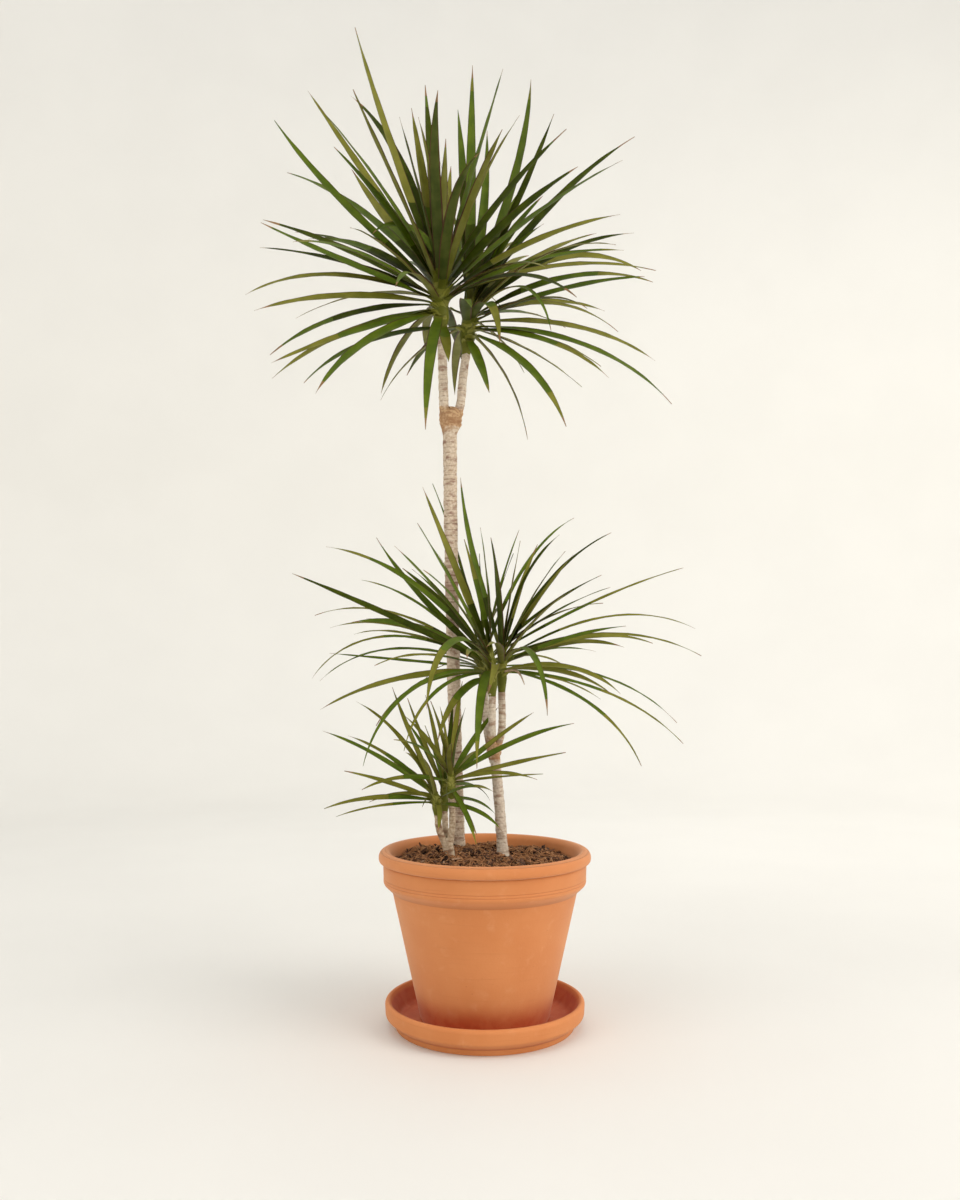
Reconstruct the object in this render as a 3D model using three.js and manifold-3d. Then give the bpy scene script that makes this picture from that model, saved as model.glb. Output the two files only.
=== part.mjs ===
// A Madagascar dragon tree with three bare canes in a terracotta pot on its saucer.
//
// Millimetres, +Z up. The origin is the centre of the saucer's flat underside, +X is to the
// viewer's right and +Y away from the viewer. Angles are in degrees: a heading turns from +X
// towards +Y, and a rise is counted up from the horizontal.

import * as THREE from "three";
import { mergeVertices } from "three/addons/utils/BufferGeometryUtils.js";
import Module from "manifold-3d";

const wasm = await Module();
wasm.setup();

// Clearance between neighbouring pieces
const GAP = 0.3;

// Pot and saucer: outer radii and heights above the floor
const ROUND_SIDES = 44;
const SAUCER = { foot: 112, footHeight: 6.5, outer: 125.3, inner: 117.8, height: 32.5, floor: 9 };
const POT = {
  base: 81, shoulder: 117, band: 129, ring: 135, mouth: 119,
  shoulderHeight: 166, bandHeight: 176, grooveHeight: 201, height: 217, wall: 11, bottom: 12,
};
const SOIL = { height: 205, edgeHeight: 200, flat: 80 };

// Canes, branches and the stem inside a head of leaves
const LIMB_SIDES = 12;
const LIMB_STEP = 45;
const CORE_SIDES = 8;
const FOOT_FLARE = 1.6;
const FLARE_HEIGHT = 22;
const KNOB_HEIGHT = 30;

// A leaf: steps along its path, where its rings sit among them, and how it is made
const PATH_STEPS = 36;
const RING_STEPS = [0, 5, 11, 18, 27, 36];
const SHEATH = 0.14;
const SHEATH_PITCH = 82;
const BEND_POWER = 1.7;
const LEAF_DEPTH = 0.0118;
const NECK = 0.5;
const WIDEST = 0.32;
const TAPER = 3.6;
const TIP_HALF_WIDTH = 0.5;
const LIGHT = new THREE.Vector3(0.12, -1, 0.35).normalize();
const LEADER_FACING = 2.2;
const LEAF_FACING = 2;

// How leaves follow one another up a stem, from the oldest to the youngest
const GOLDEN_ANGLE = 137.508;
const RISE = { oldest: -8, youngest: 84, spread: 6 };
const BEND = { oldest: 48, youngest: 6, spread: 0.3 };
const SWEEP_SPREAD = 18;
const SEAT = { hanging: 0.1, upright: 0.88, spread: 0.03 };
const LEADER_ROOM = 11;

// Room that a leaf needs
const BLADE_ROOM = 7.5;
const LIMB_ROOM = 3;
const RIM_ROOM = 5;
const NUDGES = [0, 8, -8, 16, -16, 24, -24, 32, -32];

const COLOURS = { terracotta: 0xcf8350, soil: 0x4a3022, cane: 0xa8937a, branch: 0xb09c84, leaf: 0x46601f };

// Each cane carries branches, and each branch a head of leaves. An axis runs from the lower
// end to the upper one. A leader is one of the leaves that give a head its outline, written
// [heading, rise, bend, length], with its share of the head's leaf width last where it is
// slimmer. The other leaves follow the growth rule below.
const CANES = [
  {
    name: "tall", axis: [[-33.5, 36], [-39.5, 36, 380], [-45, 35, 620], [-47, 34, 792]], foot: 8.2, tip: 9.4, knob: 6,
    branches: [
      {
        name: "left", axis: [[-54, 33, 783], [-56, 28, 840], [-58, 22, 895]], foot: 6.6, tip: 5.8,
        crown: {
          stem: 75, radius: 11, length: 255, width: 16.5, leaves: 34, seed: 11,
          leaders: [
            [175, 70, -5, 400], [190, 55, 0, 325], [185, 40, -15, 335], [150, 75, 30, 360], [155, 50, 25, 350],
            [140, 50, -5, 300], [195, 25, 15, 260], [200, 15, -5, 260], [195, 15, 50, 275], [190, 20, 20, 255],
            [200, 0, 25, 260], [175, 0, 40, 255], [200, -20, 10, 250], [190, -15, 30, 255], [215, -25, 35, 240],
            [265, -35, 50, 255], [155, 80, 0, 270], [150, 85, 0, 295], [335, 72, 0, 305], [190, 85, 140, 150],
            [280, -40, 20, 100],
          ],
        },
      },
      {
        name: "right", axis: [[-40, 35, 783], [-33, 38, 802], [-29, 40, 842], [-25, 42, 874]], foot: 6.2, tip: 5.6,
        crown: {
          stem: 75, radius: 11, length: 250, width: 16, leaves: 34, seed: 23,
          leaders: [
            [105, 82, 10, 330], [85, 83, 0, 380], [70, 66, -25, 315], [350, 67, -20, 340],
            [15, 56, 20, 390], [350, 64, -5, 300], [350, 60, 30, 165], [350, 38, 38, 260],
            [15, 45, 70, 300], [340, 15, 20, 255], [345, 25, 50, 270], [20, 25, 60, 250], [10, 7, 40, 285],
            [342, -10, 42, 320], [335, -12, 35, 230], [312, -28, 38, 255], [296, 12, 85, 275, 0.6],
            [284, 8, 88, 215], [282, -36, 10, 185],
          ],
        },
      },
    ],
  },
  {
    name: "middle", axis: [[23.3, 0], [18.2, 0, 278], [11.6, 0, 347]], foot: 6.9, tip: 6.4, knob: 2.5,
    branches: [
      {
        name: "front", axis: [[10, -2, 344], [9.5, -5, 375], [9.5, -8, 410]], foot: 5, tip: 4.6,
        crown: {
          stem: 55, radius: 7, length: 195, width: 12, leaves: 18, seed: 37,
          leaders: [
            [185, 26, 4, 290], [165, 49, 40, 295], [155, 38, -18, 255], [175, 68, 0, 250],
            [215, 58, 5, 210], [263, 0, 94, 222], [228, 2, 75, 270, 0.6], [195, -1, 30, 232],
            [234, 0, 72, 215, 0.5], [247, 28, 115, 245], [241, -6, 62, 165],
          ],
        },
      },
      {
        name: "right", axis: [[16, 1, 344], [22, 3, 368], [22, 5, 416]], foot: 5, tip: 4.6,
        crown: {
          stem: 55, radius: 7, length: 185, width: 10.5, leaves: 15, seed: 41,
          leaders: [
            [155, 70, -15, 250], [320, 75, 45, 185], [335, 60, 38, 225], [330, 55, 10, 170],
            [10, 30, 55, 290, 0.4], [335, 22, 18, 180, 0.7], [337, -13, 54, 232, 0.6], [286, 22, 110, 225],
          ],
        },
      },
      {
        name: "back", axis: [[7, 4, 344], [2, 17, 375], [0, 30, 414]], foot: 5, tip: 4.6,
        crown: {
          stem: 55, radius: 7, length: 200, width: 5.5, leaves: 16, seed: 53,
          leaders: [
            [150, 75, 10, 260], [40, 65, 40, 280], [10, 30, 14, 320], [5, 21, 50, 315], [10, 3, 50, 295],
            [5, -5, 42, 300], [165, 25, 78, 300], [160, 5, 0, 260], [145, 40, 30, 260], [165, 33, 50, 290],
            [168, 16, 55, 290], [172, 28, 42, 260],
          ],
        },
      },
    ],
  },
  {
    name: "low", axis: [[-42, -29], [-47, -29, 234]], foot: 5.6, tip: 5.8, knob: 1.2,
    branches: [
      {
        name: "left", axis: [[-51, -30, 230], [-57, -32, 246], [-59, -34, 262]], foot: 4.2, tip: 4,
        crown: {
          stem: 30, radius: 6, length: 115, width: 8, leaves: 10, seed: 67,
          leaders: [
            [190, 37, 18, 170], [160, 40, 25, 150], [165, 60, 35, 165], [185, 7, 28, 145],
            [190, 22, 10, 125], [185, 0, 20, 130, 0.5], [165, 64, -5, 150],
          ],
        },
      },
      {
        name: "back", axis: [[-48, -25, 230], [-50, -16, 246], [-51, -8, 264]], foot: 4.2, tip: 4,
        crown: {
          stem: 30, radius: 6, length: 115, width: 7, leaves: 11, seed: 71,
          leaders: [[150, 62, -5, 135], [130, 75, 10, 130], [60, 78, -5, 120]],
        },
      },
      {
        name: "right", axis: [[-43, -29, 230], [-40.5, -30, 255], [-42, -31, 283]], foot: 4.2, tip: 4,
        crown: {
          stem: 35, radius: 6, length: 115, width: 8, leaves: 10, seed: 83,
          leaders: [
            [15, 40, 10, 140], [355, 32, 22, 175], [345, 16, 5, 155], [350, 8, 5, 120, 0.5],
            [295, -30, 5, 90], [292, -24, 28, 105], [60, 80, 10, 120],
          ],
        },
      },
    ],
  },
];

const { clamp, lerp, degToRad } = THREE.MathUtils;
const UP = new THREE.Vector3(0, 0, 1);

// Repeatable chance

// A row of numbers from 0 to 1 that is the same on every run
function chanceFrom(seed) {
  let state = seed;
  return () => {
    state = (state * 1664525 + 1013904223) % 4294967296;
    return state / 4294967296;
  };
}

// A number between -spread and +spread
function around(chance, spread) {
  return (2 * chance() - 1) * spread;
}

// Solids

function material(colour, roughness) {
  return new THREE.MeshStandardMaterial({ color: colour, roughness, metalness: 0, flatShading: true });
}

function toManifold(geometry) {
  const bare = geometry.clone();
  bare.deleteAttribute("normal");
  bare.deleteAttribute("uv");
  const merged = mergeVertices(bare, 1e-4);
  return new wasm.Manifold(new wasm.Mesh({
    numProp: 3,
    vertProperties: new Float32Array(merged.attributes.position.array),
    triVerts: new Uint32Array(merged.index.array),
  }));
}

function toGeometry(solid) {
  const mesh = solid.getMesh();
  const geometry = new THREE.BufferGeometry();
  geometry.setAttribute("position", new THREE.BufferAttribute(new Float32Array(mesh.vertProperties), 3));
  geometry.setIndex(new THREE.BufferAttribute(new Uint32Array(mesh.triVerts), 1));
  geometry.computeVertexNormals();
  return geometry;
}

// The largest body of a solid: sealed hollows are filled and loose scraps dropped
function wholeBody(solid) {
  const bodies = solid.decompose();
  return bodies.reduce((best, body) => (body.volume() > best.volume() ? body : best));
}

// A profile of [radius, height] pairs turned about +Z
function turned(profile) {
  const points = profile.map(([radius, height]) => new THREE.Vector2(radius, height));
  const geometry = new THREE.LatheGeometry(points, ROUND_SIDES);
  geometry.rotateX(Math.PI / 2);
  return geometry;
}

// Limbs

function curveThrough(axis) {
  const points = axis.map(([x, y, z = SOIL.height + GAP]) => new THREE.Vector3(x, y, z));
  return new THREE.CatmullRomCurve3(points, false, "catmullrom", 0.5);
}

// A round bar along a curve. Its ends are cut level, radiusAt(u) gives its radius from the
// lower end (u = 0) to the upper one (u = 1), and extra grows it on all sides for cutting.
function barAlong(curve, radiusAt, sides, steps, extra = 0) {
  const geometry = new THREE.CylinderGeometry(1, 1, 1, sides, steps);
  const places = geometry.attributes.position;
  const corner = new THREE.Vector3();
  for (let i = 0; i < places.count; i += 1) {
    corner.fromBufferAttribute(places, i);
    const u = clamp(corner.y + 0.5, 0, 1);
    const centre = curve.getPoint(u);
    const along = curve.getTangent(u);
    const side = new THREE.Vector3(1, 0, 0).addScaledVector(along, -along.x).normalize();
    const other = new THREE.Vector3().crossVectors(side, along);
    const radius = radiusAt(u) + extra;
    const place = centre.clone();
    place.addScaledVector(side, corner.x * radius);
    place.addScaledVector(other, corner.z * radius);
    if (u === 0) {
      place.z = centre.z - extra;
    }
    if (u === 1) {
      place.z = centre.z + extra;
    }
    places.setXYZ(i, place.x, place.y, place.z);
  }
  return geometry;
}

// A cane widens a little where it meets the soil and into a knob where its branches leave
function caneRadius(cane, length) {
  return (u) => {
    const flare = FOOT_FLARE * clamp(1 - (u * length) / FLARE_HEIGHT, 0, 1) ** 2;
    const knob = cane.knob * clamp(1 - ((1 - u) * length) / KNOB_HEIGHT, 0, 1);
    return lerp(cane.foot, cane.tip, u) + flare + knob;
  };
}

function stepsFor(curve) {
  return Math.max(3, Math.ceil(curve.getLength() / LIMB_STEP));
}

// The stem that leaves of one head clasp: as wide as its branch below, widest a third of the
// way up, and slim at its tip
function stemRadius(branch) {
  const { radius } = branch.crown;
  return (u) => (u < 0.3 ? lerp(branch.tip, radius, u / 0.3) : lerp(radius, 0.6 * radius, (u - 0.3) / 0.7));
}

// Leaves

// Points along a leaf. It first hugs the stem like a sheath, then leaves it at its rise and
// bends down by its bend towards the tip.
function leafPath(leaf) {
  const points = [leaf.root.clone()];
  for (let i = 0; i < PATH_STEPS; i += 1) {
    const s = (i + 0.5) / PATH_STEPS;
    const hug = clamp(1 - s / SHEATH, 0, 1) ** 2;
    const pitch = degToRad(leaf.rise + (SHEATH_PITCH - leaf.rise) * hug - leaf.bend * s ** BEND_POWER);
    const turn = degToRad(leaf.heading + leaf.sweep * s * s);
    const step = new THREE.Vector3(Math.cos(pitch) * Math.cos(turn), Math.cos(pitch) * Math.sin(turn), Math.sin(pitch));
    points.push(points[i].clone().addScaledVector(step, leaf.length / PATH_STEPS));
  }
  return points;
}

function halfWidth(s, width) {
  const neck = lerp(NECK, 1, clamp(s / WIDEST, 0, 1));
  return Math.max(TIP_HALF_WIDTH, 0.5 * width * neck * (1 - s ** TAPER));
}

// The blade's frame at each point of its path: middle, crosswise direction, upper side and
// half width. Away from its sheath a blade turns its upper side towards the light.
function bladeFrames(leaf) {
  const points = leafPath(leaf);
  return points.map((middle, i) => {
    const s = i / PATH_STEPS;
    const before = points[Math.max(0, i - 1)];
    const after = points[Math.min(PATH_STEPS, i + 1)];
    const along = new THREE.Vector3().subVectors(after, before).normalize();
    const turn = degToRad(leaf.heading + leaf.sweep * s * s);
    const level = new THREE.Vector3(-Math.sin(turn), Math.cos(turn), 0);
    const upper = new THREE.Vector3().crossVectors(along, level);
    const lit = LIGHT.clone().addScaledVector(along, -LIGHT.dot(along));
    lit.addScaledVector(upper, -Math.min(0, lit.dot(upper)));
    upper.addScaledVector(lit, leaf.facing * clamp(s / 0.35, 0, 1)).normalize();
    const across = new THREE.Vector3().crossVectors(upper, along);
    return { s, middle, along, across, upper, half: halfWidth(s, leaf.width) };
  });
}

// A three-sided blade: flat above, with a keel below
function leafSolid(leaf) {
  const frames = bladeFrames(leaf);
  const rings = RING_STEPS.length - 1;
  const geometry = new THREE.CylinderGeometry(1, 1, 1, 3, rings);
  const places = geometry.attributes.position;
  const corner = new THREE.Vector3();
  for (let i = 0; i < places.count; i += 1) {
    corner.fromBufferAttribute(places, i);
    const frame = frames[RING_STEPS[Math.round((corner.y + 0.5) * rings)]];
    const depth = LEAF_DEPTH * leaf.length * (1 - 0.7 * frame.s ** 4);
    const place = frame.middle.clone();
    place.addScaledVector(frame.across, (corner.x / Math.sin(Math.PI / 3)) * frame.half);
    place.addScaledVector(frame.upper, (-depth * (corner.z + 0.5)) / 1.5);
    places.setXYZ(i, place.x, place.y, place.z);
  }
  return geometry;
}

// Points on a blade's middle line and both edges
function bladePoints(frames) {
  const points = [];
  for (const side of [0, 1, -1]) {
    for (const frame of frames) {
      points.push({ s: frame.s, place: frame.middle.clone().addScaledVector(frame.across, side * frame.half) });
    }
  }
  return points;
}

// Room for leaves

// Points along a limb's axis with its radius there
function limbPoints(curve, radiusAt) {
  const count = Math.ceil(curve.getLength() / 4);
  const points = [];
  for (let i = 0; i <= count; i += 1) {
    points.push({ place: curve.getPoint(i / count), radius: radiusAt(i / count) });
  }
  return points;
}

function inPot({ x, y, z }) {
  const radius = Math.hypot(x, y);
  const overSoil = radius < POT.mouth && z < SOIL.height + 2 * RIM_ROOM;
  const overRim = radius > POT.mouth - 2 * RIM_ROOM && radius < POT.ring + RIM_ROOM && z < POT.height + RIM_ROOM;
  return overSoil || overRim;
}

// Whether a leaf's points keep clear of the pot, every limb and the leaves of other heads
function isClear(points, crown, limbs, crowns) {
  const box = new THREE.Box3().setFromPoints(points.map((point) => point.place)).expandByScalar(2 * BLADE_ROOM);
  if (points.some((point) => inPot(point.place))) {
    return false;
  }
  for (const limb of limbs) {
    const own = limb.owner === crown;
    for (const knot of limb.points.filter((one) => box.containsPoint(one.place))) {
      const room = knot.radius + LIMB_ROOM;
      if (points.some((point) => (!own || point.s > SHEATH) && point.place.distanceTo(knot.place) < room)) {
        return false;
      }
    }
  }
  for (const other of crowns.filter((one) => one !== crown)) {
    for (const cloud of other.clouds.filter((one) => one.box.intersectsBox(box))) {
      for (const knot of cloud.points.filter((one) => box.containsPoint(one.place))) {
        if (points.some((point) => point.place.distanceTo(knot.place) < BLADE_ROOM)) {
          return false;
        }
      }
    }
  }
  return true;
}

// Adds a leaf to its head, turned a little aside where its own place is taken. A leaf that
// finds no place is left out.
function addLeaf(leaf, crown, limbs, crowns) {
  for (const nudge of NUDGES) {
    const trial = { ...leaf, heading: leaf.heading + nudge };
    const points = bladePoints(bladeFrames(trial));
    if (isClear(points, crown, limbs, crowns)) {
      crown.leaves.push(trial);
      crown.clouds.push({ points, box: new THREE.Box3().setFromPoints(points.map((point) => point.place)) });
      return;
    }
  }
}

// Where on the stem a leaf sits: old leaves that hang sit low, young upright ones high
function rootOf(crown, rise, chance) {
  const seat = lerp(SEAT.hanging, SEAT.upright, (rise + 38) / 128) + around(chance, SEAT.spread);
  return crown.foot.clone().addScaledVector(crown.lean, seat * crown.stem);
}

// The direction in which a leaf mostly points
function aim(leaf) {
  const pitch = degToRad(leaf.rise - 0.3 * leaf.bend);
  const turn = degToRad(leaf.heading);
  return new THREE.Vector3(Math.cos(pitch) * Math.cos(turn), Math.cos(pitch) * Math.sin(turn), Math.sin(pitch));
}

function growLeaders(crown, limbs, crowns) {
  const chance = chanceFrom(crown.seed);
  for (const [heading, rise, bend, length, slim = 1] of crown.leaders) {
    const width = crown.width * slim * (1 + around(chance, 0.08));
    const facing = LEADER_FACING + around(chance, 0.6);
    const root = rootOf(crown, rise, chance);
    addLeaf({ leader: true, heading, rise, bend, length, sweep: 0, width, facing, root }, crown, limbs, crowns);
  }
}

// The leaf with the given number, counted from the oldest: each next one is a golden angle
// further round, steeper and straighter
function growLeaf(number, crown, limbs, crowns) {
  const { chance } = crown;
  const age = (number + 0.5) / crown.leafCount;
  const rise = lerp(RISE.oldest, RISE.youngest, age ** 0.9) + around(chance, RISE.spread);
  const bend = lerp(BEND.oldest, BEND.youngest, age) * (1 + around(chance, BEND.spread));
  const prime = 0.82 + 0.3 * Math.sin(Math.PI * Math.min(1, 1.25 * age));
  const length = crown.length * prime * (1 + around(chance, 0.12));
  const sweep = around(chance, SWEEP_SPREAD);
  const facing = LEAF_FACING + around(chance, 0.8);
  const width = crown.width * (1 + around(chance, 0.1)) * (age < 0.8 ? 1 : 0.8);
  const root = rootOf(crown, rise, chance);
  const heading = (31 * crown.seed + GOLDEN_ANGLE * number) % 360;
  const leaf = { leader: false, heading, rise, bend, length, sweep, width, facing, root };
  const near = Math.cos(degToRad(LEADER_ROOM));
  if (!crown.leaves.some((other) => other.leader && aim(other).dot(aim(leaf)) > near)) {
    addLeaf(leaf, crown, limbs, crowns);
  }
}

// Pot, saucer and soil

const saucerProfile = [
  [0, 0],
  [SAUCER.foot, 0],
  [SAUCER.foot + 1, SAUCER.footHeight],
  [SAUCER.outer - 0.8, 15],
  [SAUCER.outer, SAUCER.height - 4],
  [SAUCER.outer - 3, SAUCER.height],
  [SAUCER.inner + 1, SAUCER.height - 0.5],
  [SAUCER.inner - 2, SAUCER.height - 6],
  [SAUCER.foot - 6, SAUCER.floor],
  [0, SAUCER.floor],
];

const potFoot = SAUCER.floor + GAP;
const innerFoot = potFoot + POT.bottom;
const potProfile = [
  [0, potFoot],
  [POT.base - 2, potFoot],
  [POT.base, potFoot + 2],
  [POT.shoulder, POT.shoulderHeight],
  [POT.band - 1, POT.bandHeight],
  [POT.band, POT.grooveHeight - 2],
  [POT.band - 0.5, POT.grooveHeight],
  [POT.ring - 1.5, POT.grooveHeight + 2],
  [POT.ring, POT.grooveHeight + 6],
  [POT.ring - 1.5, POT.height - 4],
  [POT.ring - 6, POT.height],
  [POT.mouth + 4, POT.height - 0.5],
  [POT.mouth, POT.height - 4],
  [POT.shoulder - POT.wall + 7, POT.shoulderHeight + 20],
  [POT.shoulder - POT.wall, POT.shoulderHeight],
  [POT.base - POT.wall + 2, innerFoot],
  [0, innerFoot],
];

const wallSlope = (POT.mouth - 6 - (POT.shoulder - POT.wall)) / (POT.height - 17 - POT.shoulderHeight);
const soilProfile = [
  [0, innerFoot + GAP],
  [POT.base - POT.wall + 1.6, innerFoot + GAP],
  [POT.shoulder - POT.wall - 2 * GAP, POT.shoulderHeight],
  [POT.shoulder - POT.wall - 2 * GAP + wallSlope * (SOIL.edgeHeight - POT.shoulderHeight), SOIL.edgeHeight],
  [SOIL.flat, SOIL.height],
  [0, SOIL.height],
];

// Assembly

const plant = new THREE.Group();

function addPiece(name, geometry, colour, roughness) {
  const mesh = new THREE.Mesh(geometry, material(colour, roughness));
  mesh.name = name;
  plant.add(mesh);
}

addPiece("saucer", turned(saucerProfile), COLOURS.terracotta, 0.85);
addPiece("pot", turned(potProfile), COLOURS.terracotta, 0.85);
addPiece("soil", turned(soilProfile), COLOURS.soil, 1);

const limbs = [];
const crowns = [];
for (const cane of CANES) {
  const curve = curveThrough(cane.axis);
  const radiusAt = caneRadius(cane, curve.getLength());
  const bar = barAlong(curve, radiusAt, LIMB_SIDES, stepsFor(curve));
  limbs.push({ owner: null, points: limbPoints(curve, radiusAt) });
  addPiece(`${cane.name}_cane`, bar, COLOURS.cane, 0.9);
  const cutters = [toManifold(barAlong(curve, radiusAt, LIMB_SIDES, stepsFor(curve), GAP))];
  for (const branch of cane.branches) {
    const branchCurve = curveThrough(branch.axis);
    const branchRadius = (u) => lerp(branch.foot, branch.tip, u);
    const steps = stepsFor(branchCurve);
    const uncut = toManifold(barAlong(branchCurve, branchRadius, LIMB_SIDES, steps));
    const cut = wholeBody(cutters.reduce((rest, cutter) => rest.subtract(cutter), uncut));
    cutters.push(toManifold(barAlong(branchCurve, branchRadius, LIMB_SIDES, steps, GAP)));
    const foot = branchCurve.getPoint(1).addScaledVector(UP, GAP);
    const lean = branchCurve.getTangent(1).add(UP).normalize();
    const crown = {
      ...branch.crown, name: `${cane.name}_${branch.name}_leaves`, branch, foot, lean,
      leafCount: branch.crown.leaves, leaves: [], clouds: [], chance: chanceFrom(branch.crown.seed + 1000),
    };
    const tip = foot.clone().addScaledVector(lean, crown.stem);
    crown.stemCurve = new THREE.LineCurve3(foot, tip);
    crowns.push(crown);
    limbs.push({ owner: crown, points: limbPoints(branchCurve, branchRadius) });
    addPiece(`${cane.name}_${branch.name}_branch`, toGeometry(cut), COLOURS.branch, 0.9);
  }
}

for (const crown of crowns) {
  crown.clouds.push({
    points: limbPoints(crown.stemCurve, stemRadius(crown.branch)),
    box: new THREE.Box3().setFromPoints([crown.foot, crown.stemCurve.v2]).expandByScalar(crown.radius),
  });
}
for (const crown of crowns) {
  growLeaders(crown, limbs, crowns);
}
for (let number = 0; number < Math.max(...crowns.map((crown) => crown.leafCount)); number += 1) {
  for (const crown of crowns.filter((one) => number < one.leafCount)) {
    growLeaf(number, crown, limbs, crowns);
  }
}

for (const crown of crowns) {
  const stem = toManifold(barAlong(crown.stemCurve, stemRadius(crown.branch), CORE_SIDES, 4));
  const head = crown.leaves.reduce((whole, leaf) => whole.add(toManifold(leafSolid(leaf))), stem);
  addPiece(crown.name, toGeometry(wholeBody(head)), COLOURS.leaf, 0.5);
}

export default plant;
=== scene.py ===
# %% [markdown]
# # A potted dragon tree
#
# A Madagascar dragon tree grows as a bare cane that ends in a tuft of long, narrow leaves.
# Where a cane has been cut it forks, and each fork carries a tuft of its own. Growers set
# canes of different heights in one pot, here a tall, a middle and a low one.
#
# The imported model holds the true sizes. This lesson replaces each of its plain solids, in
# the same place, by a surface with the detail of the real piece. Sizes are in millimetres
# until a mesh is made, because potters and growers count in them.

# %% The frame
import bpy
import numpy as np
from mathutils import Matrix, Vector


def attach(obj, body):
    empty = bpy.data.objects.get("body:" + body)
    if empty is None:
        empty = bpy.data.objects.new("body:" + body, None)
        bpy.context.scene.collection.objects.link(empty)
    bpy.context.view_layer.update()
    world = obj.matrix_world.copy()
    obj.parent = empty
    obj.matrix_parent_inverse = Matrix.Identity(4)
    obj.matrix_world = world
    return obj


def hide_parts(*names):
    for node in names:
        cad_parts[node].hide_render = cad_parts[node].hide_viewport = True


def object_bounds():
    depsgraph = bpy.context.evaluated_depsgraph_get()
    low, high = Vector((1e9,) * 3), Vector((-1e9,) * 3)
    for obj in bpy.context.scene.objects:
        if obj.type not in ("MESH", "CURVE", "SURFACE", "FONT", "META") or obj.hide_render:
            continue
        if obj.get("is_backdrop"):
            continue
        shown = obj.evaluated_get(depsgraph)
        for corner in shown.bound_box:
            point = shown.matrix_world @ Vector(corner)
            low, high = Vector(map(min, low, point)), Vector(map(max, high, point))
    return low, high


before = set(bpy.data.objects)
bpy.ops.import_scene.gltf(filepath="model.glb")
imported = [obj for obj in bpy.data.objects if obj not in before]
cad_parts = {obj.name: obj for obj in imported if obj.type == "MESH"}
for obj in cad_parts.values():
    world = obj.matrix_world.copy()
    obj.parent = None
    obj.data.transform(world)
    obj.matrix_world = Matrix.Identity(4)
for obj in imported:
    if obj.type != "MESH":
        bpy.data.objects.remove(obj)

MM = 0.001
cad_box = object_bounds()
print("CAD model in metres:", [round(high - low, 3) for low, high in zip(*cad_box)])

# %% [markdown]
# ## The camera
#
# The ellipses of the pot's rim and of the saucer tell how high and how far away the camera
# stood, and the straight canes tell how far it was tipped up. A camera placed by eye would
# put every leaf in a slightly wrong spot. The focal length is for a 36 mm sensor height.

# %% Camera
CAMERA_PLACE = (-6.1, -1320.0, 435.0)
CAMERA_TIP_UP = 4.306
CAMERA_FOCAL, CAMERA_SENSOR = 30.59, 36

camera = bpy.data.objects.new("camera", bpy.data.cameras.new("camera"))
bpy.context.scene.collection.objects.link(camera)
camera.location = np.array(CAMERA_PLACE) * MM
camera.rotation_euler = (np.radians(90 + CAMERA_TIP_UP), 0, 0)
camera.data.lens = CAMERA_FOCAL
camera.data.sensor_width = CAMERA_SENSOR
bpy.context.scene.camera = camera
print("camera at", [round(value, 3) for value in camera.location])

# %% [markdown]
# ## Numbers into meshes
#
# Nearly every piece here is a closed tube: a pot is a wide one that turns back into itself,
# a cane is a long one, a leaf is a flat one, and a chip of bark a short one. So one function
# turns grids of points into faces, and another puts them into a mesh. Working on whole
# arrays keeps this fast, and a table of rows and columns is easy to picture: rows run along
# the tube and columns round it.

# %% Points all round
def angles_round(columns):
    """Even angles, one for each column of a tube."""
    return np.arange(columns) * 2 * np.pi / columns


def lathe(radius, height, columns):
    """Rows of points turned about the upright axis: (r cos a, r sin a, z) at each angle a."""
    angle = angles_round(columns)
    return np.stack(np.broadcast_arrays(radius * np.cos(angle), radius * np.sin(angle), height), -1)


def rings_about(side, other, columns):
    """Ways out from a path, all round it: one way across it times cos a, plus the other way
    across it times sin a."""
    angle = angles_round(columns)[None, :, None]
    return side[:, None] * np.cos(angle) + other[:, None] * np.sin(angle)


print("four columns stand at", angles_round(4).round(2), "radians")


# %% From grids to faces
def shells(places, along, slots=0):
    """Closed tubes of the same layout. `places` has the shape (tubes, rows, columns, 3),
    `along` gives each row's place on the map, and `slots` the finish of each face. A face
    joins a point, the next one round, and the two above them. The ends are flat caps."""
    tubes, rows, columns = places.shape[:3]
    row, column = np.meshgrid(np.arange(rows - 1), np.arange(columns), indexing="ij")
    rows_of = np.stack([row, row, row + 1, row + 1], -1)
    columns_of = np.stack([column, column + 1, column + 1, column], -1)
    first = (np.arange(tubes) * rows * columns)[:, None, None, None]
    corners = (first + rows_of * columns + columns_of % columns).reshape(-1, 4)
    along = np.broadcast_to(along, (tubes, rows))
    across = np.broadcast_to(columns_of / columns, (tubes, *rows_of.shape))
    chart = np.stack([across, along[:, rows_of]], -1).reshape(-1, 4, 2)
    slots = np.broadcast_to(slots, (tubes, rows - 1, columns))
    foot = first[:, 0, 0] + np.arange(columns)[::-1]
    head = first[:, 0, 0] + (rows - 1) * columns + np.arange(columns)
    caps = np.concatenate([foot, head])
    cap_slots = np.concatenate([slots[:, 0, 0], slots[:, -1, 0]])
    cap_chart = np.zeros((*caps.shape, 2))
    cap_chart[..., 1] = np.concatenate([along[:, 0], along[:, -1]])[:, None]
    return places.reshape(-1, 3), [(corners, slots.reshape(-1), chart), (caps, cap_slots, cap_chart)]


prism = shells(lathe(1.0, np.array([[0.0], [1.0]]), 4)[None], [0, 1])
print("a square prism has", sum(len(corners) for corners, _, _ in prism[1]), "faces")


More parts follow.
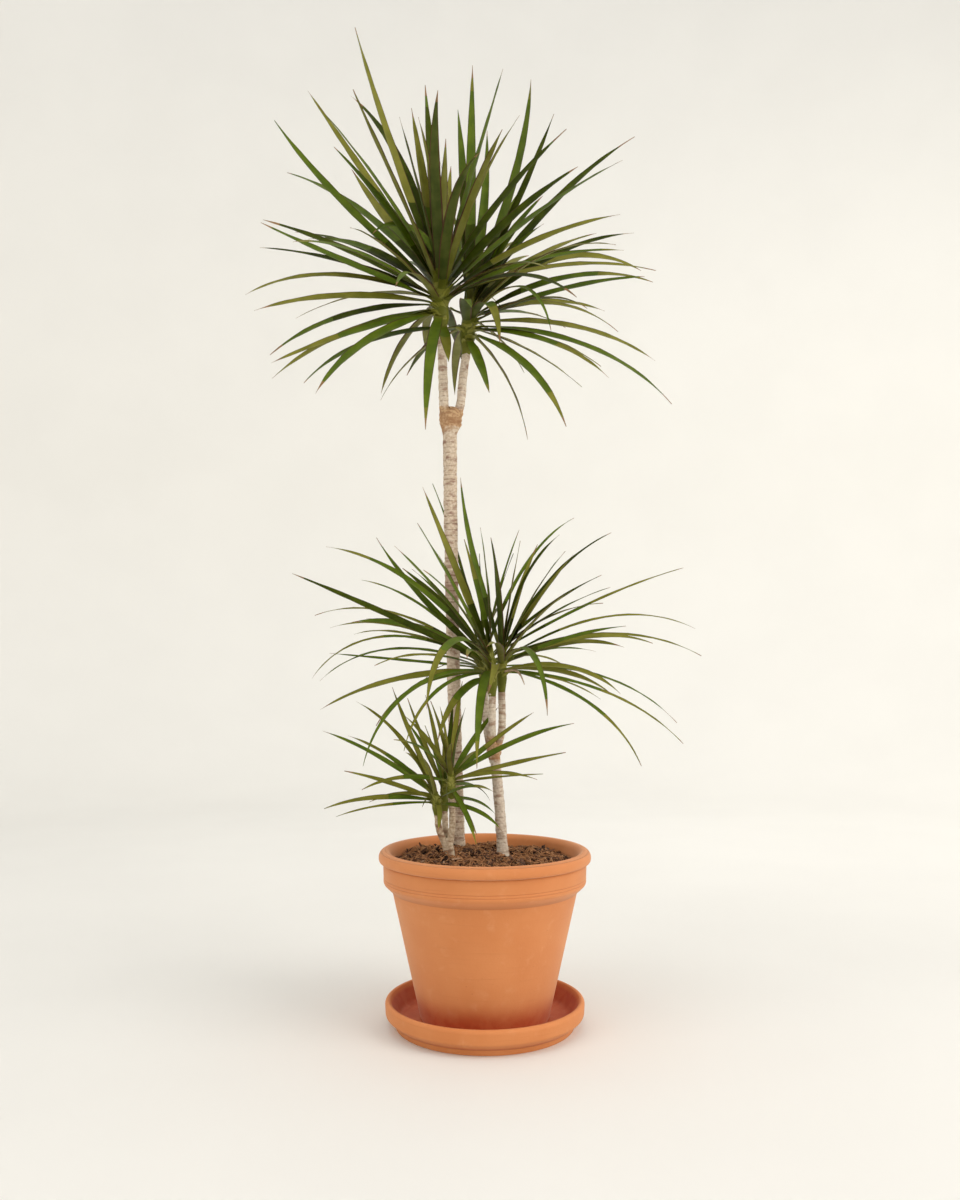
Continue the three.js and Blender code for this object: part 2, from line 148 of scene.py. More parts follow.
# %% Shells joined and measured
def join(*parts):
    """Several sets of shells as one: corner numbers move up by the points before them."""
    places, patches, count = [], [], 0
    for part_places, part_patches in parts:
        patches += [(corners + count, slots, chart) for corners, slots, chart in part_patches]
        places.append(part_places)
        count += len(part_places)
    return np.concatenate(places), patches


def volume_of(places, patches):
    """Six times a closed mesh's volume is the sum, over its triangles, of one corner's dot
    product with the cross product of the other two. It is above zero if faces look out."""
    total = 0.0
    for corners, _, _ in patches:
        for k in range(1, corners.shape[1] - 1):
            a, b, c = (places[corners[:, j]] for j in (0, k, k + 1))
            total += np.einsum("ij,ij->", a, np.cross(b, c)) / 6
    return total


print("the prism's volume should be 2 and is", round(volume_of(*prism), 6))


# %% From faces to a mesh
def new_object(name, shape, finishes, smooth=True):
    """An object at the origin, from points in millimetres and patches of faces."""
    places, patches = shape
    corners, slots, charts = zip(*patches)
    sides = np.concatenate([np.full(len(faces), faces.shape[1]) for faces in corners])
    mesh = bpy.data.meshes.new(name)
    mesh.vertices.add(len(places))
    mesh.vertices.foreach_set("co", (places * MM).astype(np.float32).ravel())
    mesh.loops.add(int(sides.sum()))
    mesh.loops.foreach_set("vertex_index", np.concatenate([faces.ravel() for faces in corners]))
    mesh.polygons.add(len(sides))
    mesh.polygons.foreach_set("loop_start", np.concatenate([[0], np.cumsum(sides)[:-1]]))
    mesh.polygons.foreach_set("material_index", np.concatenate(slots))
    mesh.polygons.foreach_set("use_smooth", np.full(len(sides), smooth))
    uv = np.concatenate([chart.ravel() for chart in charts])
    mesh.uv_layers.new(name="chart").uv.foreach_set("vector", uv.astype(np.float32))
    for finish in finishes:
        mesh.materials.append(finish)
    mesh.update(calc_edges=True)
    thing = bpy.data.objects.new(name, mesh)
    bpy.context.scene.collection.objects.link(thing)
    return thing


def make_piece(name, shape, finishes, replaces=(), smooth=True):
    """A piece of the plant. It rides on the root, and may take the place of a solid."""
    piece = new_object(name, shape, finishes, smooth)
    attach(piece, "root")
    if replaces:
        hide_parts(*replaces)
    triangles = sum(len(faces) * (faces.shape[1] - 2) for faces, _, _ in shape[1])
    print(f"{name}: {triangles} triangles, {volume_of(*shape) / 1000:.1f} cubic cm")


print("meshes before the first piece:", len(bpy.data.meshes))

# %% [markdown]
# ## Chance that repeats
#
# Nothing that grew or crumbled is even. A smooth random field gives slow swells: it is a
# mean of sine waves that run in random directions, which is easier to control than noise
# from a picture and works at any scale. The seeds are fixed, so every run is the same.

# %% Random fields
RIPPLE_HEIGHT = 0.7


def ripple(places, wavelength, seed, waves=7):
    """A smooth field between about -1 and 1 at each point: the sum of sine waves of one
    length, each in its own direction and with its own start, times the square root of
    2 / waves, which keeps its height whatever their number."""
    chance = np.random.default_rng(seed)
    ways = chance.normal(size=(places.shape[-1], waves))
    ways *= 2 * np.pi / wavelength / np.linalg.norm(ways, axis=0)
    starts = chance.uniform(0, 2 * np.pi, waves)
    return np.sin(places @ ways + starts).sum(-1) * np.sqrt(2 / waves) * RIPPLE_HEIGHT


def blend(low, high, amount):
    """The first at 0, the second at 1, and a straight line between them."""
    return low + (high - low) * amount


def smooth_step(value, start, end):
    """0 before the start, 1 after the end, and 3t^2 - 2t^3 between them."""
    t = np.clip((value - start) / (end - start), 0, 1)
    return t * t * (3 - 2 * t)


print("a ripple along a line:", ripple(np.arange(0, 50, 10.0)[:, None], 50, 1).round(2))

# %% [markdown]
# ## Materials
#
# A procedural material is a small graph of nodes. All of them here start from the place on
# the object itself, so a pattern stays put from every side. Noise nodes count features per
# metre, so a size in millimetres is turned over first.

# %% Colours and sizes
def colour(text):
    """A hex colour as it looks on a screen, turned to linear light: c / 12.92 below 0.04045,
    and ((c + 0.055) / 1.055) to the power 2.4 above it."""
    values = np.array([int(text[i:i + 2], 16) / 255 for i in (1, 3, 5)])
    linear = np.where(values <= 0.04045, values / 12.92, ((values + 0.055) / 1.055) ** 2.4)
    return (*linear, 1.0)


def per_metre(size):
    """Features per metre for a feature of this size in millimetres."""
    return 1000 / size


print("terracotta in linear light:", np.round(colour("#CF814B"), 3))
print("a feature 3 mm wide repeats", round(per_metre(3)), "times in a metre")


# %% Nodes
def feed(tree, node, inputs):
    """Each input gets a link, or a value where it is the same all over."""
    for name, value in inputs.items():
        if isinstance(value, bpy.types.Node):
            value = value.outputs[0]
        if isinstance(value, bpy.types.NodeSocket):
            tree.links.new(value, node.inputs[name])
        else:
            node.inputs[name].default_value = value


def add(tree, kind, inputs=None, **settings):
    """One node with its settings, links and values."""
    made = tree.nodes.new("ShaderNode" + kind)
    for name, value in settings.items():
        setattr(made, name, value)
    feed(tree, made, inputs or {})
    return made


def new_finish(name):
    """An empty material with its shader, and the object's own coordinates."""
    made = bpy.data.materials.new(name)
    made.use_nodes = True
    tree = made.node_tree
    tree.nodes.clear()
    shader = add(tree, "BsdfPrincipled")
    add(tree, "OutputMaterial", {"Surface": shader})
    return made, tree, shader, add(tree, "TexCoord").outputs["Object"]


print("materials before the first finish:", len(bpy.data.materials))


# %% Coats of colour
def within(tree, *steps):
    """Where every one of several patterns is past its step. Each step [pattern, start, end]
    rises softly from 0 at its start to 1 at its end, and the steps are multiplied."""
    share = None
    for pattern, start, end in steps:
        step = add(tree, "MapRange", {"Value": pattern, "From Min": start, "From Max": end},
                   interpolation_type="SMOOTHSTEP")
        share = step if share is None else add(tree, "Math", {0: share, 1: step}, operation="MULTIPLY")
    return share


def coat(tree, under, over, *steps):
    """A coat of colour over another, laid on where the patterns are past their steps. A Mix
    node has its amount at input 0, its colours at 6 and 7, and the mixed one at output 2."""
    amount = within(tree, *steps)
    return add(tree, "Mix", {0: amount, 6: under, 7: over}, data_type="RGBA").outputs[2]


print("half way through a step a coat covers", smooth_step(0.5, 0, 1))

# %% [markdown]
# ## The pot and its saucer
#
# Both are fired clay that was pressed in a spinning mould, so they are solids of revolution:
# one profile, turned about the upright axis. The profile is written as corners, each with a
# softness in millimetres, because a mould has no sharp edge. A Screw modifier on a drawn
# curve would do too, but here each corner can be checked against its size.

# %% Sizes of the clay
SAUCER = dict(foot=112, foot_height=6.5, outer=125.3, inner=117.8, height=32.5, floor=9)
POT = dict(base=81, shoulder=117, band=129, ring=135, mouth=119, wall=11, bottom=12,
           shoulder_height=166, band_height=176, groove_height=201, height=217)
SOIL_HEIGHT = 205
GAP = 0.3
LINE_HEIGHTS = (180.2, 183.6)

pot_foot = SAUCER["floor"] + GAP
inner_foot = pot_foot + POT["bottom"]
inner_shoulder = POT["shoulder"] - POT["wall"]
ring, band, groove = POT["ring"], POT["band"], POT["groove_height"]
print("pot", 2 * ring, "mm across, saucer", 2 * SAUCER["outer"], "mm across")

# %% Profiles
saucer_corners = [
    [60, 0, 0], [SAUCER["foot"], 0, 1], [SAUCER["foot"] + 1.2, SAUCER["foot_height"], 0.8],
    [SAUCER["outer"] - 0.9, 15, 2.5], [SAUCER["outer"], SAUCER["height"] - 3, 2.2],
    [SAUCER["outer"] - 2.6, SAUCER["height"], 1.8], [SAUCER["inner"] + 1.4, SAUCER["height"], 1.8],
    [SAUCER["inner"] - 1.6, SAUCER["height"] - 6, 4], [SAUCER["foot"] - 5, SAUCER["floor"] + 1, 5],
    [SAUCER["foot"] - 16, SAUCER["floor"], 4], [60, SAUCER["floor"], 0],
]
line_corners = [
    [band - 0.7 + change, height + offset, 0.35]
    for height in LINE_HEIGHTS for change, offset in ((0, -0.9), (-0.55, 0), (0, 0.9))
]
pot_corners = [
    [50, pot_foot, 0], [POT["base"] - 1, pot_foot, 1], [POT["base"] + 0.4, pot_foot + 2.5, 1.5],
    [POT["shoulder"], POT["shoulder_height"], 1], [band - 1, POT["band_height"], 2.6], *line_corners,
    [band - 0.2, groove - 1.6, 1], [band - 1, groove + 0.3, 0.7], [ring - 1.4, groove + 2, 1.6],
    [ring, groove + 6.5, 3], [ring - 1.4, POT["height"] - 3.6, 3], [ring - 6, POT["height"], 3],
    [POT["mouth"] + 4.5, POT["height"] - 0.4, 2.6], [POT["mouth"], POT["height"] - 4.5, 3],
    [inner_shoulder + 7, POT["shoulder_height"] + 20, 6], [inner_shoulder, POT["shoulder_height"], 6],
    [POT["base"] - POT["wall"] + 2, inner_foot, 5], [50, inner_foot, 0],
]
print("saucer and pot profiles:", len(saucer_corners), "and", len(pot_corners), "corners")

# %% Profiles turned about the axis
ROUND_SIDES, CORNER_STEPS, LONGEST_STEP = 224, 7, 7


def soft_profile(corners):
    """Each corner [radius, height, softness] becomes a short curve that starts `softness`
    before it and ends as far after it: (1-t)^2 of the start, 2t(1-t) of the corner and t^2
    of the end. Straight stretches are cut to at most the longest step."""
    corners = np.array(corners, float)
    points, soft = corners[:, :2], corners[:, 2:]
    steps = np.diff(points, axis=0)
    steps /= np.linalg.norm(steps, axis=1, keepdims=True)
    start = points - soft * np.concatenate([steps[:1], steps])
    end = points + soft * np.concatenate([steps, steps[-1:]])
    t = np.linspace(0, 1, CORNER_STEPS)[None, :, None]
    curve = (1 - t) ** 2 * start[:, None] + 2 * t * (1 - t) * points[:, None] + t ** 2 * end[:, None]
    curve = curve.reshape(-1, 2)
    length = np.concatenate([[0], np.cumsum(np.linalg.norm(np.diff(curve, axis=0), axis=1))])
    stations = np.concatenate([length, np.arange(0, length[-1], LONGEST_STEP)])
    stations = np.unique(np.round(stations, 1))
    return np.stack([np.interp(stations, length, curve[:, k]) for k in (0, 1)], -1), stations


def turned(corners):
    """The softened profile as a closed tube about the axis."""
    profile, stations = soft_profile(corners)
    return shells(lathe(profile[:, :1], profile[:, 1:], ROUND_SIDES)[None], stations)


print("the pot's profile is", soft_profile(pot_corners)[1][-1].round(), "mm long")

# %% [markdown]
# ### Terracotta
#
# Terracotta is an iron-rich clay fired without a glaze, about 900 to 1000 degrees C. Its
# surface is open and matt, so light spreads evenly and there is no highlight. The mould and
# the scraper leave faint rings, the firing leaves paler and redder clouds, and the foot that
# stands in water turns dark and red as far as the wall sucks it up.

# %% Dry clay
CLAY_COATS = [
    (0.3, 0.7, "#D48852"), (0.55, 0.9, "#D89260"), (0.58, 0.95, "#C87B48"), (0.68, 0.82, "#BC7043"),
]
# How far the painted shade in the creases darkens the clay.
CREASE_SHADE_SHARE = 0.4


def dry_clay(tree, height, patterns, creases):
    """Four coats over the plain clay: pale clouds and smears, redder rings and grit. Painted
    shade darkens each crease [height, reach] from its height upwards, where shade falls, and
    fades over its reach."""
    skin = colour("#CF814B")
    for pattern, (start, end, over) in zip(patterns, CLAY_COATS):
        skin = coat(tree, skin, colour(over), (pattern, start, end))
    # Painted shade: each crease is darkened towards a deep red-brown, where shade falls under the band, in
    # the groove and the lines, and at the saucer's foot.
    for start, reach in creases:
        full = (start + 0.2) * MM
        crease_shade = within(tree, (height, (start - 0.7) * MM, full), (height, (start + reach) * MM, full))
        crease_shade = add(tree, "Math", {0: crease_shade, 1: CREASE_SHADE_SHARE}, operation="MULTIPLY")
        skin = add(tree, "Mix", {0: crease_shade, 6: skin, 7: colour("#A2562A")}, data_type="RGBA").outputs[2]
    return skin


print("coats over the clay:", len(CLAY_COATS))


# %% Terracotta, pressed and fired
def terracotta(name, damp_top, damp_inside, creases, dust):
    """Clouds 60 and smears 14 mm wide, rings 3 mm apart, grit 2.6 mm (real grit is finer than
    the picture shows). Below `damp_top`, along an edge that wavers by 12 mm, or inside
    `damp_inside` above the floor, the clay is wet. Dust is a pale sheen at a glancing angle."""
    made, tree, shader, place = new_finish(name)
    flat = add(tree, "Mapping", {"Vector": place, "Scale": (0.04, 0.04, 1.0)})
    clouds, smears, rings, grit = patterns = [
        add(tree, "TexNoise", {"Vector": vector, "Scale": per_metre(size), "Detail": detail})
        for vector, size, detail in ((place, 60, 3.0), (place, 14, 5.0), (flat, 3, 2.0), (place, 2.6, 3.0))
    ]
    height = add(tree, "SeparateXYZ", {"Vector": place}).outputs["Z"]
    dry = dry_clay(tree, height, patterns, creases)
    wet = coat(tree, colour("#BA5224"), colour("#C05E31"), (smears, 0.42, 0.62))
    edge = add(tree, "Math", {0: clouds, 1: 0.012, 2: height}, operation="MULTIPLY_ADD")
    low = within(tree, (edge, (damp_top + 22) * MM, (damp_top - 10) * MM))
    across = add(tree, "Mapping", {"Vector": place, "Scale": (1.0, 1.0, 0.0)})
    radius = add(tree, "VectorMath", {0: across}, operation="LENGTH").outputs["Value"]
    inside = within(tree, (radius, (damp_inside + 1.5) * MM, (damp_inside - 1.5) * MM),
                    (height, 7.5 * MM, 8.5 * MM))
    damp = add(tree, "Math", {0: low, 1: inside}, operation="MAXIMUM")
    skin = add(tree, "Mix", {0: damp, 6: dry, 7: wet}, data_type="RGBA").outputs[2]
    rough = add(tree, "MapRange", {"Value": damp, "To Min": 0.8, "To Max": 0.6})
    relief = add(tree, "Math", {0: rings, 1: 0.8, 2: grit}, operation="MULTIPLY_ADD")
    relief = add(tree, "Math", {0: clouds, 1: 1.5, 2: relief}, operation="MULTIPLY_ADD")
    bump = add(tree, "Bump", {"Height": relief, "Strength": 0.35, "Distance": 0.4 * MM})
    feed(tree, shader, {
        "Base Color": skin, "Roughness": rough, "Normal": bump, "Specular IOR Level": 0.35,
        "Sheen Weight": dust, "Sheen Roughness": 0.5, "Sheen Tint": colour("#FFEAD2")})
    return made


# %% Pot and saucer
# The creases that get painted shade: under the band, at the groove and the two lines, and at the saucer's
# foot.
pot_clay = terracotta(
    "terracotta_pressed_pot", damp_top=37, damp_inside=0, dust=0.3,
    creases=[(POT["shoulder_height"], 8), (groove, 2.2), *((line, 0.9) for line in LINE_HEIGHTS)])
saucer_clay = terracotta(
    "terracotta_pressed_saucer", damp_top=-20, damp_inside=SAUCER["inner"] - 1, dust=0.1,
    creases=[(SAUCER["foot_height"], 3)])
make_piece("clay_saucer", turned(saucer_corners), [saucer_clay], ["saucer"])
make_piece("clay_pot", turned(pot_corners), [pot_clay], ["pot"])

# %% [markdown]
# ## The potting mix
#
# The pot is filled with composted bark and coir, the brown fibre of coconut husks. From a
# step away one sees chips and threads with dark gaps, and a mound where the low canes were
# pushed in. The mound is a height over each spot of the disc. Chips and threads then lie on
# it by the thousand, so each is a tube with only a few faces, and each kind is one mesh.

# %% The heap under the chips
MOUNDS = [(-48, -12, 34, 7.5), (-20, 40, 40, 3.0), (-70, 30, 26, 3.0)]
SWELLS = [(1.8, 55, 1), (1.7, 19, 2), (1.1, 8, 3)]
EDGE_FALL, FALL_FROM, FALL_TO = 5.0, 70, 118
CHIP_REACH, THREAD_REACH, THREAD_EDGE = 114, 106, 112


def heap(x, y):
    """Height of the mix: level, plus a bell for each mound [x, y, spread, rise], plus swells
    55, 19 and 8 mm long, less a fall towards the wall."""
    spot = np.stack([x, y], -1)
    height = np.full(x.shape, SOIL_HEIGHT - 1.0)
    for mound_x, mound_y, spread, rise in MOUNDS:
        height = height + rise * np.exp(-((x - mound_x) ** 2 + (y - mound_y) ** 2) / (2 * spread ** 2))
    for rise, wavelength, seed in SWELLS:
        height = height + rise * ripple(spot, wavelength, seed)
    return height - EDGE_FALL * smooth_step(np.hypot(x, y), FALL_FROM, FALL_TO)


def heap_shape(rows=86, columns=180):
    """A tube up the pot's wall to the mix's edge, then rings that shrink to the middle at
    the heap's height."""
    wall = np.array([[inner_shoulder - 34, 22], [inner_shoulder - 1, 164], [inner_shoulder + 5.6, 186]])
    radius = np.concatenate([wall[:, 0], np.linspace(inner_shoulder + 9.4, 1.5, rows)])[:, None]
    places = lathe(radius, radius, columns)
    places[..., 2] = heap(places[..., 0], places[..., 1])
    places[:len(wall), :, 2] = wall[:, 1:]
    return shells(places[None], np.linspace(0, 1, len(radius)))


print("the heap in the middle is", heap(np.zeros(1), np.zeros(1)).round(1), "mm up")


# %% Scattered and turned
def scattered(count, seed, reach):
    """Even chance over a disc: the radius is the reach times the square root of chance."""
    chance = np.random.default_rng(seed)
    radius, angle = reach * np.sqrt(chance.uniform(0, 1, count)), chance.uniform(0, 2 * np.pi, count)
    return chance, radius * np.cos(angle), radius * np.sin(angle)


def turns(yaw, pitch, roll):
    """Turning matrices: roll about X, then pitch about Y, then yaw about Z."""
    cy, sy, cp, sp, cr, sr = (f(a) for a in (yaw, pitch, roll) for f in (np.cos, np.sin))
    return np.stack([
        np.stack([cy * cp, cy * sp * sr - sy * cr, cy * sp * cr + sy * sr], -1),
        np.stack([sy * cp, sy * sp * sr + cy * cr, sy * sp * cr - cy * sr], -1),
        np.stack([-sp, cp * sr, cp * cr], -1),
    ], -2)


print("X after a quarter turn about Z:", turns(np.pi / 2, 0, 0)[:, 0].round(3))


# %% Chips of bark
def chips(count, seed, longest, finishes=1):
    """Bark breaks into flat splinters. Each is a six-sided tube of three rings along X,
    thick in the middle and ragged by chance, laid on the heap with a little tilt."""
    chance, x, y = scattered(count, seed, CHIP_REACH)
    corner = np.arange(6) * np.pi / 3
    ring = np.stack([np.zeros(6), np.cos(corner), np.sin(corner)], -1)
    rings = np.stack([ring * size + [shift, 0, 0] for size, shift in ((0.55, -1), (1, 0), (0.6, 1))])
    rough = rings[None] * chance.uniform(0.75, 1.25, (count, 3, 6, 3))
    length = longest * chance.uniform(0.35, 1, count)
    wide, thick = chance.uniform(0.3, 0.6, count), chance.uniform(0.12, 0.3, count)
    half = np.stack([length, length * wide, length * thick], -1)
    turn = turns(chance.uniform(0, 6.3, count), chance.normal(0, 0.35, count), chance.normal(0, 0.5, count))
    middle = np.stack([x, y, heap(x, y) + half[:, 2] * 0.5], -1)
    places = np.einsum("nij,nrcj->nrci", turn, rough * (half / 2)[:, None, None]) + middle[:, None, None]
    slots = chance.integers(0, finishes, count)[:, None, None]
    return shells(places, np.linspace(0, 1, 3), slots)


print("one chip has", len(chips(1, 0, 10)[0]), "points")


# %% Threads of coir
def threads(count, seed, longest):
    """Coir threads: three-sided tubes of six rings on an arc that lies on the heap. At the
    share t of its length the arc stands off sideways by 4t(1-t) times its sag. A thread that
    would reach past the mix is pulled in to its edge."""
    chance, x, y = scattered(count, seed, THREAD_REACH)
    t = np.linspace(0, 1, 6)
    arch = 4 * t * (1 - t)
    length, yaw = longest * chance.uniform(0.3, 1, count), chance.uniform(0, 6.3, count)
    ahead = np.stack([np.cos(yaw), np.sin(yaw)], -1)
    aside = np.stack([-np.sin(yaw), np.cos(yaw)], -1)
    sag = length * chance.normal(0, 0.22, count)
    track = np.stack([x, y], -1)[:, None] + ahead[:, None] * ((t - 0.5) * length[:, None])[..., None]
    track = track + aside[:, None] * (arch * sag[:, None])[..., None]
    track = track * np.minimum(1, THREAD_EDGE / np.maximum(np.linalg.norm(track, axis=-1), 1))[..., None]
    lift = 1.6 + chance.uniform(0, 1.6, count)[:, None] + arch * chance.uniform(0, 2.5, count)[:, None]
    middle = np.concatenate([track, (heap(track[..., 0], track[..., 1]) + lift)[..., None]], -1)
    radius = (0.3 + 0.35 * chance.uniform(0, 1, count))[:, None, None, None]
    aside = np.concatenate([aside, np.zeros((count, 1))], -1)
    ring = rings_about(aside, np.array([[0, 0, 1.0]]), 3)[:, None]
    return shells(middle[:, :, None] - ring * radius, t)


print("one thread has", len(threads(1, 0, 30)[0]), "points")

# %% [markdown]
# ### Bark, coir and the pale bits
#
# Composted bark is nearly black when damp and chestnut when dry. Two browns are dealt out
# chip by chip, because colours that belong to a chip stay with it that way in every copy of
# the model, and the driest bits are a third. All of it is rough and dull: no highlight, only
# a fine grain.

# %% Finishes of the mix
def crumb(name, base, fleck, grain):
    """A dull crumb: one brown, flecked at the given grain in millimetres."""
    made, tree, shader, place = new_finish(name)
    noise = add(tree, "TexNoise", {"Vector": place, "Scale": per_metre(grain), "Detail": 3.0})
    skin = coat(tree, colour(base), colour(fleck), (noise, 0.4, 0.7))
    bump = add(tree, "Bump", {"Height": noise, "Strength": 0.6, "Distance": 0.6 * MM})
    feed(tree, shader, {"Base Color": skin, "Roughness": 0.92, "Specular IOR Level": 0.2, "Normal": bump})
    return made


compost = crumb("compost_damp_fines", "#1E120C", "#352319", 2.5)
dark_bark = crumb("bark_composted_dark", "#332016", "#574031", 2)
brown_bark = crumb("bark_composted_brown", "#543828", "#7E5C47", 2)
dry_bark = crumb("bark_composted_dry", "#9C7A60", "#BE9C80", 2)
coir = crumb("coir_thread_dry", "#A06E49", "#C69468", 3)
pale_bit = crumb("wood_splinter_pale", "#C7B196", "#E2D3BA", 2)

# %% The mix in the pot
bark_bits = join(chips(1700, 21, 9, 2), chips(800, 22, 15, 2), chips(1600, 26, 5, 2))
dry_bits = join(chips(330, 23, 10), chips(300, 27, 4))
make_piece("mix_bark", bark_bits, [dark_bark, brown_bark], smooth=False)
make_piece("mix_heap", heap_shape(), [compost], ["soil"])
make_piece("mix_dry_bark", dry_bits, [dry_bark], smooth=False)
make_piece("mix_coir", threads(1300, 24, 30), [coir])
make_piece("mix_splinters", chips(70, 25, 5), [pale_bit], smooth=False)

# %% [markdown]
# ## Canes and branches
#
# A cane is the bare stem that old leaves have dropped from. Each leaf clasped it all round,
# so each left a ring, and the rings stand 4 to 13 mm apart with small wobbles. A cane is
# therefore a tube along a smooth curve whose radius carries the rings. The curve runs through
# the same points as in the model, so the bark lies where the solid was.
#
# Each table below is one cane: the points it runs through, its radius at the foot and the
# tip, its knob, and its branches. A branch has the same, and a crown of leaves. Each leader
# of a crown is a leaf that can be told apart: heading, rise, bend and length, and a share of
# the crown's leaf width where it is slim.

# %% The tall cane
TALL = dict(
    name="tall", axis=[[-33.5, 36], [-39.5, 36, 380], [-45, 35, 620], [-47, 34, 792]], foot=8.2, tip=9.4,
    knob=6, knob_size=(15.3, 11.6, 12, 32), knob_shift=(1.7, 0, -5), ring_pitch=8.5, branch_pitch=6.2,
    branches=[
        dict(name="left", axis=[[-54, 33, 783], [-56, 28, 840], [-58, 22, 895]], foot=6.6, tip=5.8,
             crown=dict(stem=75, radius=11, length=255, width=16.5, leaves=34, seed=11, more=16, leaders=[
                 [175, 70, -5, 400], [190, 55, 0, 325], [185, 40, -15, 335], [150, 75, 30, 360],
                 [155, 50, 25, 350], [140, 50, -5, 300], [195, 25, 15, 260], [200, 15, -5, 260],
                 [195, 15, 50, 275], [190, 20, 20, 255], [200, 0, 25, 260], [175, 0, 40, 255],
                 [200, -20, 10, 250], [190, -15, 30, 255], [215, -25, 35, 240], [265, -35, 50, 255],
                 [155, 80, 0, 270], [150, 85, 0, 295], [335, 72, 0, 305], [190, 85, 140, 150],
                 [280, -40, 20, 100]])),
        dict(name="right", axis=[[-40, 35, 783], [-33, 38, 802], [-29, 40, 842], [-25, 42, 874]],
             foot=6.2, tip=5.6,
             crown=dict(stem=75, radius=11, length=250, width=16, leaves=34, seed=23, more=16, leaders=[
                 [105, 82, 10, 330], [85, 83, 0, 380], [70, 66, -25, 315], [350, 67, -20, 340],
                 [15, 56, 20, 390], [350, 64, -5, 300], [350, 60, 30, 165], [350, 38, 38, 260],
                 [15, 45, 70, 300], [340, 15, 20, 255], [345, 25, 50, 270], [20, 25, 60, 250],
                 [10, 7, 40, 285], [342, -10, 42, 320], [335, -12, 35, 230], [312, -28, 38, 255],
                 [296, 12, 85, 275, 0.6], [284, 8, 88, 215], [282, -36, 10, 185]])),
    ])
print("tall cane:", [len(branch["crown"]["leaders"]) for branch in TALL["branches"]], "leaders")

# %% The middle cane
MIDDLE = dict(
    name="middle", axis=[[23.3, 0], [18.2, 0, 278], [11.6, 0, 347]], foot=6.9, tip=6.4,
    knob=2.5, knob_size=(9.4, 8.8, 8, 18), knob_shift=(0, 2, -4), ring_pitch=6.5, branch_pitch=4.6,
    branches=[
        dict(name="front", axis=[[10, -2, 344], [9.5, -5, 375], [9.5, -8, 410]], foot=5, tip=4.6,
             crown=dict(stem=55, radius=7, length=195, width=12, leaves=18, seed=37, more=12, leaders=[
                 [185, 26, 4, 290], [165, 49, 40, 295], [155, 38, -18, 255], [175, 68, 0, 250],
                 [215, 58, 5, 210], [263, 0, 94, 222], [228, 2, 75, 270, 0.6], [195, -1, 30, 232],
                 [234, 0, 72, 215, 0.5], [247, 28, 115, 245], [241, -6, 62, 165]])),
        dict(name="right", axis=[[16, 1, 344], [22, 3, 368], [22, 5, 416]], foot=5, tip=4.6,
             crown=dict(stem=55, radius=7, length=185, width=10.5, leaves=15, seed=41, more=5, leaders=[
                 [155, 70, -15, 250], [320, 75, 45, 185], [335, 60, 38, 225], [330, 55, 10, 170],
                 [10, 30, 55, 290, 0.4], [335, 22, 18, 180, 0.7], [337, -13, 54, 232, 0.6],
                 [286, 22, 110, 225]])),
        dict(name="back", axis=[[7, 4, 344], [2, 17, 375], [0, 30, 414]], foot=5, tip=4.6,
             crown=dict(stem=55, radius=7, length=200, width=5.5, leaves=16, seed=53, more=7, leaders=[
                 [150, 75, 10, 260], [40, 65, 40, 280], [10, 30, 14, 320], [5, 21, 50, 315],
                 [10, 3, 50, 295], [5, -5, 42, 300], [165, 25, 78, 300], [160, 5, 0, 260],
                 [145, 40, 30, 260], [165, 33, 50, 290], [168, 16, 55, 290], [172, 28, 42, 260]])),
    ])
print("middle cane:", [len(branch["crown"]["leaders"]) for branch in MIDDLE["branches"]], "leaders")

# %% The low cane
LOW = dict(
    name="low", axis=[[-42, -29], [-47, -29, 234]], foot=5.6, tip=5.8,
    knob=1.2, knob_size=(7.8, 6.8, 5, 12), knob_shift=(0, 1, -4), ring_pitch=6, branch_pitch=4.6,
    branches=[
        dict(name="left", axis=[[-51, -30, 230], [-57, -32, 246], [-59, -34, 262]], foot=4.2, tip=4,
             crown=dict(stem=30, radius=6, length=115, width=8, leaves=10, seed=67, more=4, leaders=[
                 [190, 37, 18, 170], [160, 40, 25, 150], [165, 60, 35, 165], [185, 7, 28, 145],
                 [190, 22, 10, 125], [185, 0, 20, 130, 0.5], [165, 64, -5, 150]])),
        dict(name="back", axis=[[-48, -25, 230], [-50, -16, 246], [-51, -8, 264]], foot=4.2, tip=4,
             crown=dict(stem=30, radius=6, length=115, width=7, leaves=11, seed=71, more=4, leaders=[
                 [150, 62, -5, 135], [130, 75, 10, 130], [60, 78, -5, 120]])),
        dict(name="right", axis=[[-43, -29, 230], [-40.5, -30, 255], [-42, -31, 283]], foot=4.2, tip=4,
             crown=dict(stem=35, radius=6, length=115, width=8, leaves=10, seed=83, more=4, leaders=[
                 [15, 40, 10, 140], [355, 32, 22, 175], [345, 16, 5, 155], [350, 8, 5, 120, 0.5],
                 [295, -30, 5, 90], [292, -24, 28, 105], [60, 80, 10, 120]])),
    ])
CANES = [TALL, MIDDLE, LOW]
print("low cane:", [len(branch["crown"]["leaders"]) for branch in LOW["branches"]], "leaders")


# %% Curves through points
def unit(rows):
    """Each row divided by its own length."""
    return rows / np.linalg.norm(rows, axis=-1, keepdims=True)


def curve_points(axis):
    """The points of an axis. One without a height starts on the mix."""
    return np.array([[*point, SOIL_HEIGHT + GAP][:3] for point in axis], float)


